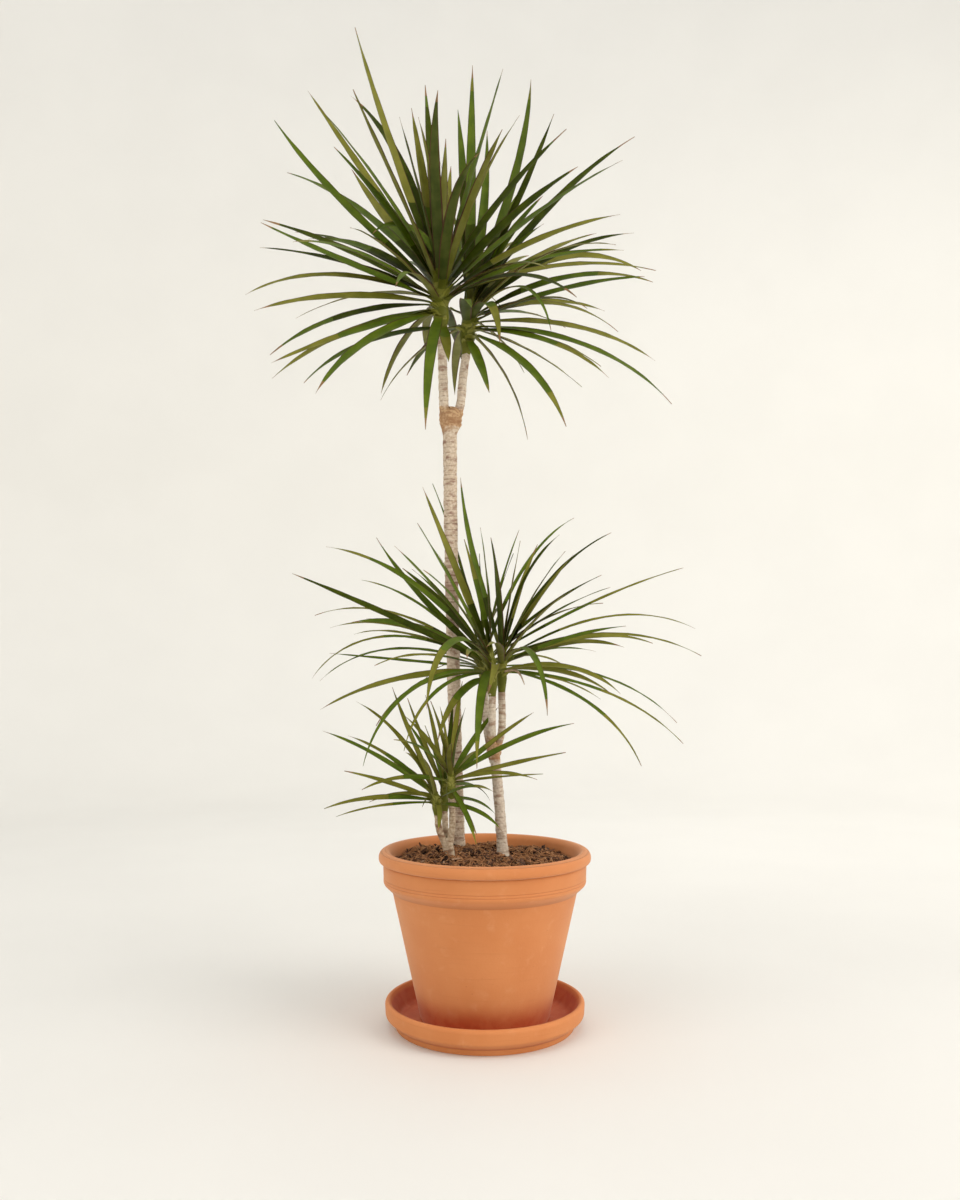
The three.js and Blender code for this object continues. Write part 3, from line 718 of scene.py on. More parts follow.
def on_curve(points, share):
    """A Catmull-Rom curve at shares from 0 to 1: in each stretch a cubic that starts and ends
    at its two points, with half the way between their neighbours as slope. Past the ends the
    neighbour is the mirror image of the next point."""
    padded = np.concatenate([2 * points[:1] - points[1:2], points, 2 * points[-1:] - points[-2:-1]])
    place = np.atleast_1d(share) * (len(points) - 1)
    stretch = np.minimum(place.astype(int), len(points) - 2)
    t = (place - stretch)[:, None]
    before, start, end, after = (padded[stretch + k] for k in range(4))
    slope_in, slope_out = (end - before) / 2, (after - start) / 2
    cubic = 2 * start - 2 * end + slope_in + slope_out
    square = -3 * start + 3 * end - 2 * slope_in - slope_out
    return start + slope_in * t + square * t ** 2 + cubic * t ** 3


print("the tall cane half way up:", on_curve(curve_points(TALL["axis"]), 0.5)[0].round(1))

# %% Ways and lengths
NEARBY, LENGTH_STEPS = 1e-4, 200


def direction(points, share):
    """The way the curve runs, from a point just before the share to one just after."""
    share = np.atleast_1d(share)
    before, after = np.maximum(share - NEARBY, 0), np.minimum(share + NEARBY, 1)
    return unit(on_curve(points, after) - on_curve(points, before))


def length_of(points):
    """The sum of 200 straight steps along the curve."""
    steps = np.diff(on_curve(points, np.linspace(0, 1, LENGTH_STEPS + 1)), axis=0)
    return np.linalg.norm(steps, axis=1).sum()


print("cane lengths in mm:", [round(length_of(curve_points(cane["axis"]))) for cane in CANES])

# %% Radius of a limb
FOOT_FLARE, FLARE_HEIGHT, KNOB_HEIGHT = 1.6, 22, 30


def cane_radius(cane, length, knob_share=1):
    """From the foot's to the tip's radius, wider where it meets the mix and at the knob."""
    def radius_at(share):
        flare = FOOT_FLARE * np.clip(1 - share * length / FLARE_HEIGHT, 0, 1) ** 2
        knob = cane["knob"] * knob_share * np.clip(1 - (1 - share) * length / KNOB_HEIGHT, 0, 1)
        return blend(cane["foot"], cane["tip"], share) + flare + knob
    return radius_at


def branch_radius(branch):
    """An even narrowing from the foot to the tip."""
    return lambda share: blend(branch["foot"], branch["tip"], share)


print("radius half way up the tall cane:", cane_radius(TALL, length_of(curve_points(TALL["axis"])))(0.5))

# %% Rings of the bark
DIP, DIP_WIDTH, BULGE, BULGE_WIDTH, BULGE_PLACE = 0.4, 0.7, 0.22, 0.9, 1.7


def ringed_limb(axis, radius_at, pitch, seed, columns=36, step=1.3, sink=0.0, rise=0.0):
    """The bark of a limb. The ring count grows by one each `pitch`, hurried and slowed by
    slow waves and tipped a little to one side. Near a whole count the bark dips by a narrow
    bell, beside it it bulges, and swells 9 and 4 mm long make it uneven. `sink` and `rise`
    lengthen the limb at its two ends, where it is hidden, and the sunk end narrows."""
    points = curve_points(axis)
    length = length_of(points)
    height = np.arange(-sink, length + rise + step, step)
    share = np.clip(height / length, 0, 1)
    way = direction(points, share)
    middle = on_curve(points, share) + way * (height - share * length)[:, None]
    side = unit(np.array([1.0, 0, 0]) - way * way[:, :1])
    angle = angles_round(columns)
    slow, quick = np.random.default_rng(seed).uniform(0, 6.3, 2)
    hurry = 0.25 * np.sin(height / 7.5 + slow) * (pitch / 10)
    count = height / pitch + hurry + 0.4 * np.sin(height / 29 + quick)
    lean = 0.14 * np.sin(angle[None] + slow + 0.9 * np.sin(height / 40)[:, None])
    rings = count[:, None] + lean + 0.04 * np.sin(3 * angle[None])
    gap = np.abs(rings - np.round(rings)) * pitch
    outward = rings_about(side, np.cross(way, side), columns)
    base = (radius_at(share) * (1 - 0.25 * np.clip(-height / max(sink, 1), 0, 1)))[:, None]
    skin = middle[:, None] + outward * base[..., None]
    depth = 0.6 + 0.4 * ripple(skin, 31, seed + 3)
    bulge = BULGE * np.exp(-((gap - BULGE_PLACE) / BULGE_WIDTH) ** 2)
    relief = depth * (bulge - DIP * np.exp(-(gap / DIP_WIDTH) ** 2))
    relief = relief + 0.3 * ripple(skin, 9, seed + 1) + 0.1 * ripple(skin, 4, seed + 2)
    places = skin + outward * (relief * np.minimum(1, base / 7))[..., None]
    return shells(places[None], count)


print("a ring dips by", DIP, "mm, and the bark beside it bulges by", BULGE, "mm")

# %% [markdown]
# ### Callus knobs, stubs and a dry leaf
#
# Where a cane was cut, callus swelled over the wound and the new shoots broke through it.
# Such a knob is wider than the cane, wrinkled and warmer in colour. A ball pushed onto the
# cane would show an edge, so this is a swelling that eases out of the bark below and closes
# as a dome above. Dead shoots leave short dark stubs, and one dry leaf hangs on.

# %% A callus knob
def knob(cane_top, shift, size, hidden, seed, columns=48):
    """A swelling with half widths along X and Y and a reach up and down. Below its middle the
    radius falls along 3t^2 - 2t^3 to the `hidden` one just under the cane's bark, so no edge
    shows. Above it closes as a dome, sqrt(1 - t^2). Swells 12 and 5 mm long fade in, and the
    shift to its own middle fades in too."""
    half_x, half_y, up, down = size
    below, dome = np.linspace(0, 1, 26), np.sin(np.linspace(0.06, np.pi / 2 - 0.08, 18))[:, None]
    swell = smooth_step(below, 0.0, 0.8)[:, None]
    wide, deep = (np.concatenate([blend(hidden, half, swell), half * np.sqrt(1 - dome ** 2)])
                  for half in (half_x, half_y))
    height = np.concatenate([(below[:, None] - 1) * down, dome * up])
    angle = angles_round(columns)
    skin = np.stack(np.broadcast_arrays(wide * np.cos(angle), deep * np.sin(angle), height), -1)
    relief = (0.9 * ripple(skin, 12, seed) + 0.35 * ripple(skin, 5, seed + 1)) / 12
    grown = np.concatenate([swell, np.ones((len(dome), 1))])
    relief = 1 + relief * grown
    places = skin * np.stack([relief, relief, np.ones_like(relief)], -1)
    middle = cane_top + np.array([0, 0, shift[2]]) + grown[..., None] * [shift[0], shift[1], 0]
    return shells((places + middle)[None], 0.5)


print("the tall knob is", 2 * TALL["knob_size"][0], "mm wide")


# %% A stub
def stub(places_along, thick, thin, columns=9):
    """A short tube through a few points, that narrows evenly from thick to thin."""
    points = np.array(places_along, float)
    share = np.linspace(0, 1, 9)
    way, middle = direction(points, share), on_curve(points, share)
    side = unit(np.cross(way, [0.0, 1.0, 0.02]))
    ring = rings_about(side, np.cross(way, side), columns)
    return shells((middle[:, None] + ring * blend(thick, thin, share)[:, None, None])[None], share)


print("one stub has", len(stub([[0, 0, 0], [0, 0, 5], [1, 0, 9]], 1.5, 0.5)[0]), "points")

# %% [markdown]
# ### Bark
#
# Dragon tree bark is thin and corky, greyish beige, with a brown line at each ring, pinkish
# and brown blotches that lie crosswise, and a chalky bloom on the side that weather reached.
# The ring lines read the count that is stored on the bark's own map, so colour and relief
# meet exactly. Near a fork the bark turns into warm brown callus, along a ragged edge.

# %% Ringed bark
RAGGED = 40
NO_CALLUS = (2000, 2010)


def bark(name, pale, mid, scar, blotch, callus=NO_CALLUS):
    """Lines near whole ring counts, blotches 16 mm wide and 7 mm high, patches 48 mm wide and
    a 3 mm grain. Between the two heights of `callus` it turns raggedly into warm callus."""
    made, tree, shader, place = new_finish(name)
    crosswise = add(tree, "Mapping", {"Vector": place, "Scale": (1.0, 1.0, 2.3)})
    grain, blotches, patches = (
        add(tree, "TexNoise", {"Vector": vector, "Scale": per_metre(size), "Detail": detail})
        for vector, size, detail in ((place, 3, 4.0), (crosswise, 16, 4.0), (place, 48, 2.0)))
    skin = coat(tree, colour(mid), colour(pale), (grain, 0.35, 0.7))
    skin = coat(tree, skin, colour(blotch), (blotches, 0.5, 0.68))
    skin = coat(tree, skin, colour(blotch), (patches, 0.55, 0.78))
    knotty = coat(tree, colour("#AC8460"), colour("#CBA982"), (grain, 0.38, 0.66))
    knotty = coat(tree, knotty, colour("#9E7452"), (blotches, 0.5, 0.74))
    height = add(tree, "SeparateXYZ", {"Vector": place}).outputs["Z"]
    edge = add(tree, "Math", {0: blotches, 1: RAGGED * MM, 2: height}, operation="MULTIPLY_ADD")
    start, end = ((level + RAGGED / 2) * MM for level in callus)
    skin = coat(tree, skin, knotty, (edge, start, end))
    count = add(tree, "SeparateXYZ", {"Vector": add(tree, "UVMap", uv_map="chart")}).outputs["Y"]
    from_ring = add(tree, "Math", {0: count, 1: 0.5}, operation="PINGPONG")
    ragged = add(tree, "Math", {0: grain, 1: 0.3, 2: from_ring}, operation="MULTIPLY_ADD")
    faint = add(tree, "MapRange", {
        "Value": patches, "From Min": 0.35, "From Max": 0.62, "To Min": 0.12, "To Max": 0.85})
    line = add(tree, "Math", {0: within(tree, (ragged, 0.27, 0.13)), 1: faint}, operation="MULTIPLY")
    skin = add(tree, "Mix", {0: line, 6: skin, 7: colour(scar)}, data_type="RGBA").outputs[2]
    bump = add(tree, "Bump", {"Height": grain, "Strength": 0.3, "Distance": 0.5 * MM})
    feed(tree, shader, {"Base Color": skin, "Roughness": 0.78, "Specular IOR Level": 0.3, "Normal": bump})
    return made


print("callus sets in along an edge that wavers by", RAGGED, "mm")

# %% The canes' barks
low_bark = bark("bark_stringy_low_cane", "#CEBDA4", "#B09B81", "#6E513A", "#896B54")
BARKS = {
    "tall": (bark("bark_ringed_tall_cane", "#DACAB6", "#BFA992", "#6E503A", "#917160", (762, 774)),
             bark("bark_ringed_tall_branch", "#E4D6C4", "#CFBCA6", "#785844", "#A48672", (802, 790))),
    "middle": (bark("bark_ringed_middle_cane", "#DACEBD", "#C4B3A0", "#7C614C", "#A08571", (326, 340)),
               bark("bark_ringed_middle_branch", "#DCD0BF", "#C7B6A2", "#7C614C", "#A48974", (362, 350))),
    "low": (low_bark, low_bark),
}
print("barks:", {cane: [finish.name for finish in barks] for cane, barks in BARKS.items()})

# %% Canes and branches in place
CANE_SEED, KNOB_SEED, BRANCH_SEED = 300, 340, 400
BARK_UNDER_KNOB = 0.3

for number, cane in enumerate(CANES):
    name, points = cane["name"], curve_points(cane["axis"])
    cane_bark, branch_bark = BARKS[name]
    radius_at = cane_radius(cane, length_of(points), BARK_UNDER_KNOB)
    shape = ringed_limb(cane["axis"], radius_at, cane["ring_pitch"], CANE_SEED + 10 * number, sink=9)
    make_piece(f"{name}_cane_bark", shape, [cane_bark], [f"{name}_cane"])
    swelling = knob(points[-1], cane["knob_shift"], cane["knob_size"], cane["tip"] - 0.8, KNOB_SEED + number)
    make_piece(f"{name}_knob", swelling, [cane_bark])
    for order, branch in enumerate(cane["branches"]):
        solid = f"{name}_{branch['name']}_branch"
        shape = ringed_limb(branch["axis"], branch_radius(branch), cane["branch_pitch"],
                            BRANCH_SEED + 20 * number + 3 * order, columns=28, step=1.0, sink=6, rise=6)
        make_piece(f"{solid}_bark", shape, [branch_bark], [solid])

# %% Stubs and the dry leaf in place
dead_shoot = crumb("wood_dead_shoot", "#4A3426", "#6A4C36", 2)
dry_leaf = crumb("leaf_remnant_dry", "#B4987C", "#CFB69B", 3)
stubs = join(
    stub([[-45.5, 28, 786], [-46, 27, 793], [-48, 26, 797]], 1.3, 0.5),
    stub([[-41, 28, 786], [-40, 27, 791], [-37.5, 26, 792.5]], 1.5, 0.6),
    stub([[12.5, -3, 342], [13, -5, 352], [15.5, -6, 358]], 1.5, 0.5),
)
remnant = stub([[26, 0, 442], [38, -4, 444], [46, -6, 437], [51, -7, 425]], 2.4, 0.5)
make_piece("dead_stubs", stubs, [dead_shoot])
make_piece("dry_leaf_remnant", remnant, [dry_leaf])

# %% [markdown]
# ## How the leaves grow
#
# The model's leaves come from a rule, and the same rule is written here with whole arrays.
# A leaf hugs its stem like a sheath, leaves it at its rise and bends down towards its tip.
# The leaders give a tuft its outline. The others follow one another by the golden angle,
# each younger one steeper, which is how a shoot really sets its leaves. A leaf that would
# touch the pot, a cane or another tuft turns a little aside, or is left out. Copying meshes
# by instances would be lighter, but no two leaves are alike.

# %% The rule's numbers
PATH_STEPS, SHEATH, SHEATH_PITCH, BEND_POWER = 36, 0.14, 82, 1.7
NECK, WIDEST, TAPER, TIP_HALF_WIDTH = 0.5, 0.32, 3.6, 0.5
LIGHT = np.array([0.12, -1, 0.35]) / np.linalg.norm([0.12, -1, 0.35])
LEADER_FACING, LEAF_FACING, FACING_REACH = 2.2, 2, 0.35
LEADER_FACING_SPREAD, LEADER_WIDTH_SPREAD = 0.6, 0.08
LEAF_FACING_SPREAD, LEAF_WIDTH_SPREAD, LENGTH_SPREAD = 0.8, 0.1, 0.12
GOLDEN_ANGLE, EXTRA_TURN, SEED_TURN = 137.508, 68.75, 31
MODEL_SEED, EXTRA_SEED = 1000, 2000
LOWEST_RISE, HIGHEST_RISE, RISE_POWER = -38, 90, 0.9
RISE, BEND, SEAT = (-8, 84, 6), (48, 6, 0.3), (0.1, 0.88, 0.03)
SHORTEST, PRIME_GAIN, PRIME_PACE = 0.82, 0.3, 1.25
NARROW_AGE, NARROW = 0.8, 0.8
SWEEP_SPREAD, LEADER_ROOM, AIM_BEND = 18, 11, 0.3
BLADE_ROOM, LIMB_ROOM, RIM_ROOM, LIMB_STEP = 7.5, 3, 5, 4
NUDGES = [0, 8, -8, 16, -16, 24, -24, 32, -32]


def chance_from(seed):
    """Each state is the one before times 1664525 plus 1013904223, kept below 2 to the 32."""
    state = seed
    while True:
        state = (state * 1664525 + 1013904223) % 4294967296
        yield state / 4294967296


def around(chance, spread):
    """Even chance between minus the spread and the spread."""
    return (2 * next(chance) - 1) * spread


def age_of(rise):
    """A leaf that hangs is old, 0, and one that stands upright is young, 1."""
    return (rise - LOWEST_RISE) / (HIGHEST_RISE - LOWEST_RISE)


print("ages of leaves at 0, 45 and 90 degrees:", [round(age_of(rise), 2) for rise in (0, 45, 90)])


# %% A leaf's path and width
def leaf_path(leaf):
    """At share s the pitch is rise + (82 - rise) hug - bend s^1.7, where hug falls from 1 to 0
    over the sheath, and the heading turns by sweep s^2. The path sums its small steps."""
    s = (np.arange(PATH_STEPS) + 0.5) / PATH_STEPS
    hug = np.clip(1 - s / SHEATH, 0, 1) ** 2
    pitch = np.radians(leaf["rise"] + (SHEATH_PITCH - leaf["rise"]) * hug - leaf["bend"] * s ** BEND_POWER)
    turn = np.radians(leaf["heading"] + leaf["sweep"] * s * s)
    steps = np.stack([np.cos(pitch) * np.cos(turn), np.cos(pitch) * np.sin(turn), np.sin(pitch)], -1)
    way = np.concatenate([np.zeros((1, 3)), np.cumsum(steps, 0)])
    return leaf["root"] + way * leaf["length"] / PATH_STEPS


def half_width(s, width):
    """Half the width: narrow at the neck, full from a third on, times 1 - s^3.6."""
    neck = blend(NECK, 1, np.clip(s / WIDEST, 0, 1))
    return np.maximum(TIP_HALF_WIDTH, 0.5 * width * neck * (1 - s ** TAPER))


print("half widths of a 16 mm leaf:", half_width(np.linspace(0, 1, 5), 16).round(1))


# %% A leaf's frame
def blade_frames(leaf):
    """Share, middle, way across, upper side and half width. Past its sheath a blade turns its
    upper side towards the light, by the part of the light's direction that is crosswise."""
    middle = leaf_path(leaf)
    knots = np.arange(PATH_STEPS + 1)
    s = knots / PATH_STEPS
    along = unit(middle[np.minimum(knots + 1, PATH_STEPS)] - middle[np.maximum(knots - 1, 0)])
    turn = np.radians(leaf["heading"] + leaf["sweep"] * s * s)
    upper = np.cross(along, np.stack([-np.sin(turn), np.cos(turn), np.zeros_like(turn)], -1))
    lit = LIGHT - along * (along @ LIGHT)[:, None]
    lit = lit - upper * np.minimum(0, (lit * upper).sum(-1))[:, None]
    upper = unit(upper + lit * (leaf["facing"] * np.clip(s / FACING_REACH, 0, 1))[:, None])
    return s, middle, np.cross(upper, along), upper, half_width(s, leaf["width"])


def blade_points(leaf):
    """Points on the middle line and on both edges, with their shares."""
    s, middle, across, _, half = blade_frames(leaf)
    edge = across * half[:, None]
    return np.concatenate([middle, middle + edge, middle - edge]), np.tile(s, 3)


print("leaves turn towards the light at", LIGHT.round(2))


# %% Room for a leaf
def limb_points(points, radius_at):
    """Points along a limb, about every 4 mm, and its radius at each."""
    count = int(np.ceil(length_of(points) / LIMB_STEP))
    share = np.arange(count + 1) / count
    return on_curve(points, share), radius_at(share)


def in_pot(places):
    """Whether points are in or near the mix or the rim."""
    radius, height = np.hypot(places[:, 0], places[:, 1]), places[:, 2]
    over_mix = (radius < POT["mouth"]) & (height < SOIL_HEIGHT + 2 * RIM_ROOM)
    over_rim = (radius > POT["mouth"] - 2 * RIM_ROOM) & (radius < POT["ring"] + RIM_ROOM)
    return over_mix | (over_rim & (height < POT["height"] + RIM_ROOM))


print("leaves keep", RIM_ROOM, "mm off the pot's rim")


# %% Whether a leaf is clear
def is_clear(places, shares, crown, limbs, crowns):
    """Whether a leaf's points keep off the pot, every limb and the leaves of other tufts."""
    def near(knots):
        low, high = places.min(0) - 2 * BLADE_ROOM, places.max(0) + 2 * BLADE_ROOM
        return ((knots >= low) & (knots <= high)).all(1)

    def apart(asked, knots):
        return np.linalg.norm(asked[:, None] - knots, axis=-1)

    if in_pot(places).any():
        return False
    for owner, knots, radii in limbs:
        asked = places[shares > SHEATH] if owner is crown else places
        if (apart(asked, knots[near(knots)]) < radii[near(knots)] + LIMB_ROOM).any():
            return False
    for other in crowns:
        knots = np.concatenate(other["clouds"])
        if other is not crown and (apart(places, knots[near(knots)]) < BLADE_ROOM).any():
            return False
    return True


def add_leaf(leaf, crown, limbs, crowns):
    """Adds the leaf with the first nudge of its heading that leaves it clear, if there is one."""
    for nudge in NUDGES:
        trial = {**leaf, "heading": leaf["heading"] + nudge}
        places, shares = blade_points(trial)
        if is_clear(places, shares, crown, limbs, crowns):
            crown["grown"].append(trial)
            crown["clouds"].append(places)
            return


print("a leaf keeps", BLADE_ROOM, "mm off another tuft's leaves and", LIMB_ROOM, "mm off a limb")


# %% Leaders
def root_of(crown, rise, chance):
    """Leaves that hang sit low on the stem, and upright ones high."""
    seat = blend(SEAT[0], SEAT[1], age_of(rise)) + around(chance, SEAT[2])
    return crown["base"] + crown["lean"] * (seat * crown["stem"])


def aim(leaf):
    """The way a leaf points as a whole: its heading, and its rise less 0.3 of its bend."""
    pitch, turn = np.radians(leaf["rise"] - AIM_BEND * leaf["bend"]), np.radians(leaf["heading"])
    return np.array([np.cos(pitch) * np.cos(turn), np.cos(pitch) * np.sin(turn), np.sin(pitch)])


def grow_leaders(crown, limbs, crowns):
    """Every leader of a tuft, with a little chance in its width and in how it faces the light."""
    chance = chance_from(crown["seed"])
    for heading, rise, bend, length, *slim in crown["leaders"]:
        width = crown["width"] * (slim or [1])[0] * (1 + around(chance, LEADER_WIDTH_SPREAD))
        facing = LEADER_FACING + around(chance, LEADER_FACING_SPREAD)
        leaf = dict(leader=True, heading=heading, rise=rise, bend=bend, length=length, sweep=0, width=width,
                    facing=facing, root=root_of(crown, rise, chance), age=age_of(rise))
        add_leaf(leaf, crown, limbs, crowns)


leader_count = sum(len(branch["crown"]["leaders"]) for cane in CANES for branch in cane["branches"])
print("leaders in all:", leader_count)


# %% The leaves between them
def grow_leaf(number, count, turned_by, crown, limbs, crowns):
    """The leaf with this number, from the oldest: rise, bend, length and width follow its
    age, each with a little chance, and its heading adds a golden angle for every number."""
    chance = crown["chance"]
    age = (number + 0.5) / count
    rise = blend(RISE[0], RISE[1], age ** RISE_POWER) + around(chance, RISE[2])
    bend = blend(BEND[0], BEND[1], age) * (1 + around(chance, BEND[2]))
    prime = SHORTEST + PRIME_GAIN * np.sin(np.pi * min(1, PRIME_PACE * age))
    length = crown["length"] * prime * (1 + around(chance, LENGTH_SPREAD))
    sweep = around(chance, SWEEP_SPREAD)
    facing = LEAF_FACING + around(chance, LEAF_FACING_SPREAD)
    width = crown["width"] * (1 + around(chance, LEAF_WIDTH_SPREAD)) * (1 if age < NARROW_AGE else NARROW)
    root = root_of(crown, rise, chance)
    heading = (SEED_TURN * crown["seed"] + turned_by + GOLDEN_ANGLE * number) % 360
    leaf = dict(leader=False, heading=heading, rise=rise, bend=bend, length=length, sweep=sweep,
                width=width, facing=facing, root=root, age=age)
    near = np.cos(np.radians(LEADER_ROOM))
    if not any(other["leader"] and aim(other) @ aim(leaf) > near for other in crown["grown"]):
        add_leaf(leaf, crown, limbs, crowns)


def stem_radius(branch):
    """As wide as the branch below, widest a third of the way up, and slim at the tip."""
    wide = branch["crown"]["radius"]
    return lambda share: np.where(share < 0.3, blend(branch["tip"], wide, share / 0.3),
                                  blend(wide, 0.6 * wide, (share - 0.3) / 0.7))


print("leaves keep", LEADER_ROOM, "degrees off the leaders")

# %% [markdown]
# ### The tufts grow together
#
# First all leaders of all tufts, then one leaf of each tuft in turn, so that no tuft takes
# all the room. This gives the model's leaves exactly. After that each tuft gets some more by
# the same rule with a fresh row of chance, for a real tuft is denser than its solid.

# %% Room taken before the first leaf
limbs, crowns = [], []
for cane in CANES:
    points = curve_points(cane["axis"])
    limbs.append((None, *limb_points(points, cane_radius(cane, length_of(points)))))
    for branch in cane["branches"]:
        points = curve_points(branch["axis"])
        base = on_curve(points, 1.0)[0] + np.array([0, 0, GAP])
        lean = unit(direction(points, 1.0)[0] + np.array([0, 0, 1.0]))
        crown = {**branch["crown"], "name": f"{cane['name']}_{branch['name']}_leaves", "branch": branch,
                 "base": base, "lean": lean, "grown": []}
        stem = np.array([base, base + lean * crown["stem"]])
        crown["clouds"] = [limb_points(stem, stem_radius(branch))[0]]
        crowns.append(crown)
        limbs.append((crown, *limb_points(points, branch_radius(branch))))
print(len(limbs), "limbs and", len(crowns), "crowns")


# %% Growing
def grow_round(key, first_seed, turned_by):
    """One leaf of each tuft in turn, until each has had as many as its table's `key` says."""
    for crown in crowns:
        crown["chance"] = chance_from(crown["seed"] + first_seed)
    for number in range(max(crown[key] for crown in crowns)):
        for crown in crowns:
            if number < crown[key]:
                grow_leaf(number, crown[key], turned_by, crown, limbs, crowns)


for crown in crowns:
    grow_leaders(crown, limbs, crowns)
grow_round("leaves", MODEL_SEED, 0)
print("leaves of the model:", {crown["name"]: len(crown["grown"]) for crown in crowns})
grow_round("more", EXTRA_SEED, EXTRA_TURN)
print("leaves in all:", sum(len(crown["grown"]) for crown in crowns))

# %% [markdown]
# ## Leaf blades
#
# A dragon tree leaf is a strap with a shallow channel, thicker in the middle, with fine
# reddish edges and a point that dries out. Its base is pale and clasps the stem. A flat
# strip would look like paper from the side, so each blade is a thin closed tube: seven
# points over its upper side and three below, ring after ring. The section is an arc whose
# curve eases from the stem's own roundness at the base to a shallow channel further out.

# %% How a blade clasps its stem
STATIONS =np.array([*range(7), *range(8, 31, 2), *range(31, 37)])
SECTION = np.array([1, 0.9, 0.45, 0, -0.45, -0.9, -1, -0.8, 0, 0.8])
SECTION_DEPTH = np.array([0, 0, 0, 0, 0, 0, 0, 0.45, 0.85, 0.45])
CLASP, CLASP_REACH, STEM_REACH = 1.35, 0.12, 0.16


def clasped(leaf, crown, s, middle):
    """The stem's radius at each station, and the middle line pushed out to the stem's skin
    as long as the leaf is still inside the stem."""
    rise = np.clip(((middle - crown["base"]) @ crown["lean"]) / crown["stem"], 0, 1)
    core = (stem_radius(crown["branch"])(rise) + 0.5) * blend(0.84, 1, np.clip(s / 0.05, 0, 1))
    axis = crown["base"] + crown["lean"] * (rise * crown["stem"])[:, None]
    turn = np.radians(leaf["heading"])
    ahead = np.array([np.cos(turn), np.sin(turn), 0])
    inside = np.clip(1 - s / STEM_REACH, 0, 1)
    away = np.hypot(np.linalg.norm(middle - axis, axis=-1), core * inside)
    outward = unit(middle - axis + ahead * 0.5)
    return core, np.where((inside > 0)[:, None], axis + outward * away[:, None], middle)


print("one blade has", len(STATIONS) * len(SECTION), "points")


# %% Blades from arrays
def blade(leaf, crown, chance):
    """The points of one leaf. At the share a of the half width w, a section of roundness k
    lies at sin(a w k) / k across and (1 - cos(a w k)) / k up, plus a fold of |a| w. Small
    waves run along the edges, and the underside lies deeper by the blade's thickness."""
    s, middle, across, upper, half = (part[STATIONS] for part in blade_frames(leaf))
    core, middle = clasped(leaf, crown, s, middle)
    half = half + (CLASP * core - half) * np.clip(1 - s / CLASP_REACH, 0, 1) ** 1.3
    half = np.where(s > 0.98, 0.3, half)
    roundness = blend(1 / core, 1 / (2.1 * leaf["width"]), smooth_step(s, 0.02, 0.2))[:, None]
    fold = (0.16 + 0.14 * chance.uniform()) * smooth_step(s, 0.1, 0.3) * (1 - 0.5 * s)
    twist = np.radians(chance.normal(0, 9)) * s[:, None] ** 1.5
    cos, sin = np.cos(twist), np.sin(twist)
    across, upper = across * cos + upper * sin, upper * cos - across * sin
    reach = SECTION[None] * half[:, None]
    sideways = np.sin(reach * roundness) / roundness
    up = (1 - np.cos(reach * roundness)) / roundness + np.abs(reach) * fold[:, None]
    waves = np.sin(s * leaf["length"] / chance.uniform(7, 11) + chance.uniform(0, 6.3))[:, None]
    up = up + 0.35 * waves * SECTION ** 2 * np.sign(SECTION) * smooth_step(s, 0.15, 0.4)[:, None]
    up = up - SECTION_DEPTH * (1.25 - 0.95 * s[:, None])
    return middle[:, None] + across[:, None] * sideways[..., None] + upper[:, None] * up[..., None]


def stem_shape(crown, columns=20):
    """The green stem that the leaf bases clasp: a short tube with its own three radii."""
    share = np.linspace(-0.02, 1, 14)
    middle = crown["base"] + crown["lean"] * (share * crown["stem"])[:, None]
    side = unit(np.cross([0.0, 1.0, 0.0], crown["lean"]))
    ring = rings_about(side[None], np.cross(crown["lean"], side)[None], columns)
    radius = stem_radius(crown["branch"])(np.clip(share, 0, 1)) * np.where(share > 0.9, 0.7, 1)
    return shells((middle[:, None] + ring * radius[:, None, None])[None], share, LIGHT_NECK)


print("faces round a blade:", len(SECTION))

# %% [markdown]
# ### Living leaf
#
# A leaf is wet tissue under a thin wax skin, with a soft gloss at roughness 0.45 to 0.55. Its
# leaves run from bottle green through fresh green to olive further out, and the inner part of
# an upright leaf is painted bottle green as shade, for the heart of a tuft lies in shade. Veins
# run lengthwise, finer than the picture can show, so only 30 are drawn round a blade. Nine
# plain finishes are dealt out by face and by leaf, because a colour that has a place must
# stay with its faces in every copy.

# %% Leaf finishes
VEINS = 30


def leaf_skin(name, base, cloud, roughness, gloss=0.15):
    """A base colour with clouds 22 mm long, and 30 veins round the blade as fine relief."""
    made, tree, shader, place = new_finish(name)
    clouds = add(tree, "TexNoise", {"Vector": place, "Scale": per_metre(22), "Detail": 3.0})
    skin = coat(tree, colour(base), colour(cloud), (clouds, 0.35, 0.68))
    around_blade = add(tree, "SeparateXYZ", {"Vector": add(tree, "UVMap", uv_map="chart")}).outputs["X"]
    turns_round = add(tree, "Math", {0: around_blade, 1: 2 * np.pi * VEINS}, operation="MULTIPLY")
    veins = add(tree, "Math", {0: turns_round}, operation="SINE")
    bump = add(tree, "Bump", {"Height": veins, "Strength": 0.25, "Distance": 0.12 * MM})
    feed(tree, shader, {
        "Base Color": skin, "Roughness": roughness, "Specular IOR Level": gloss, "Normal": bump})
    return made


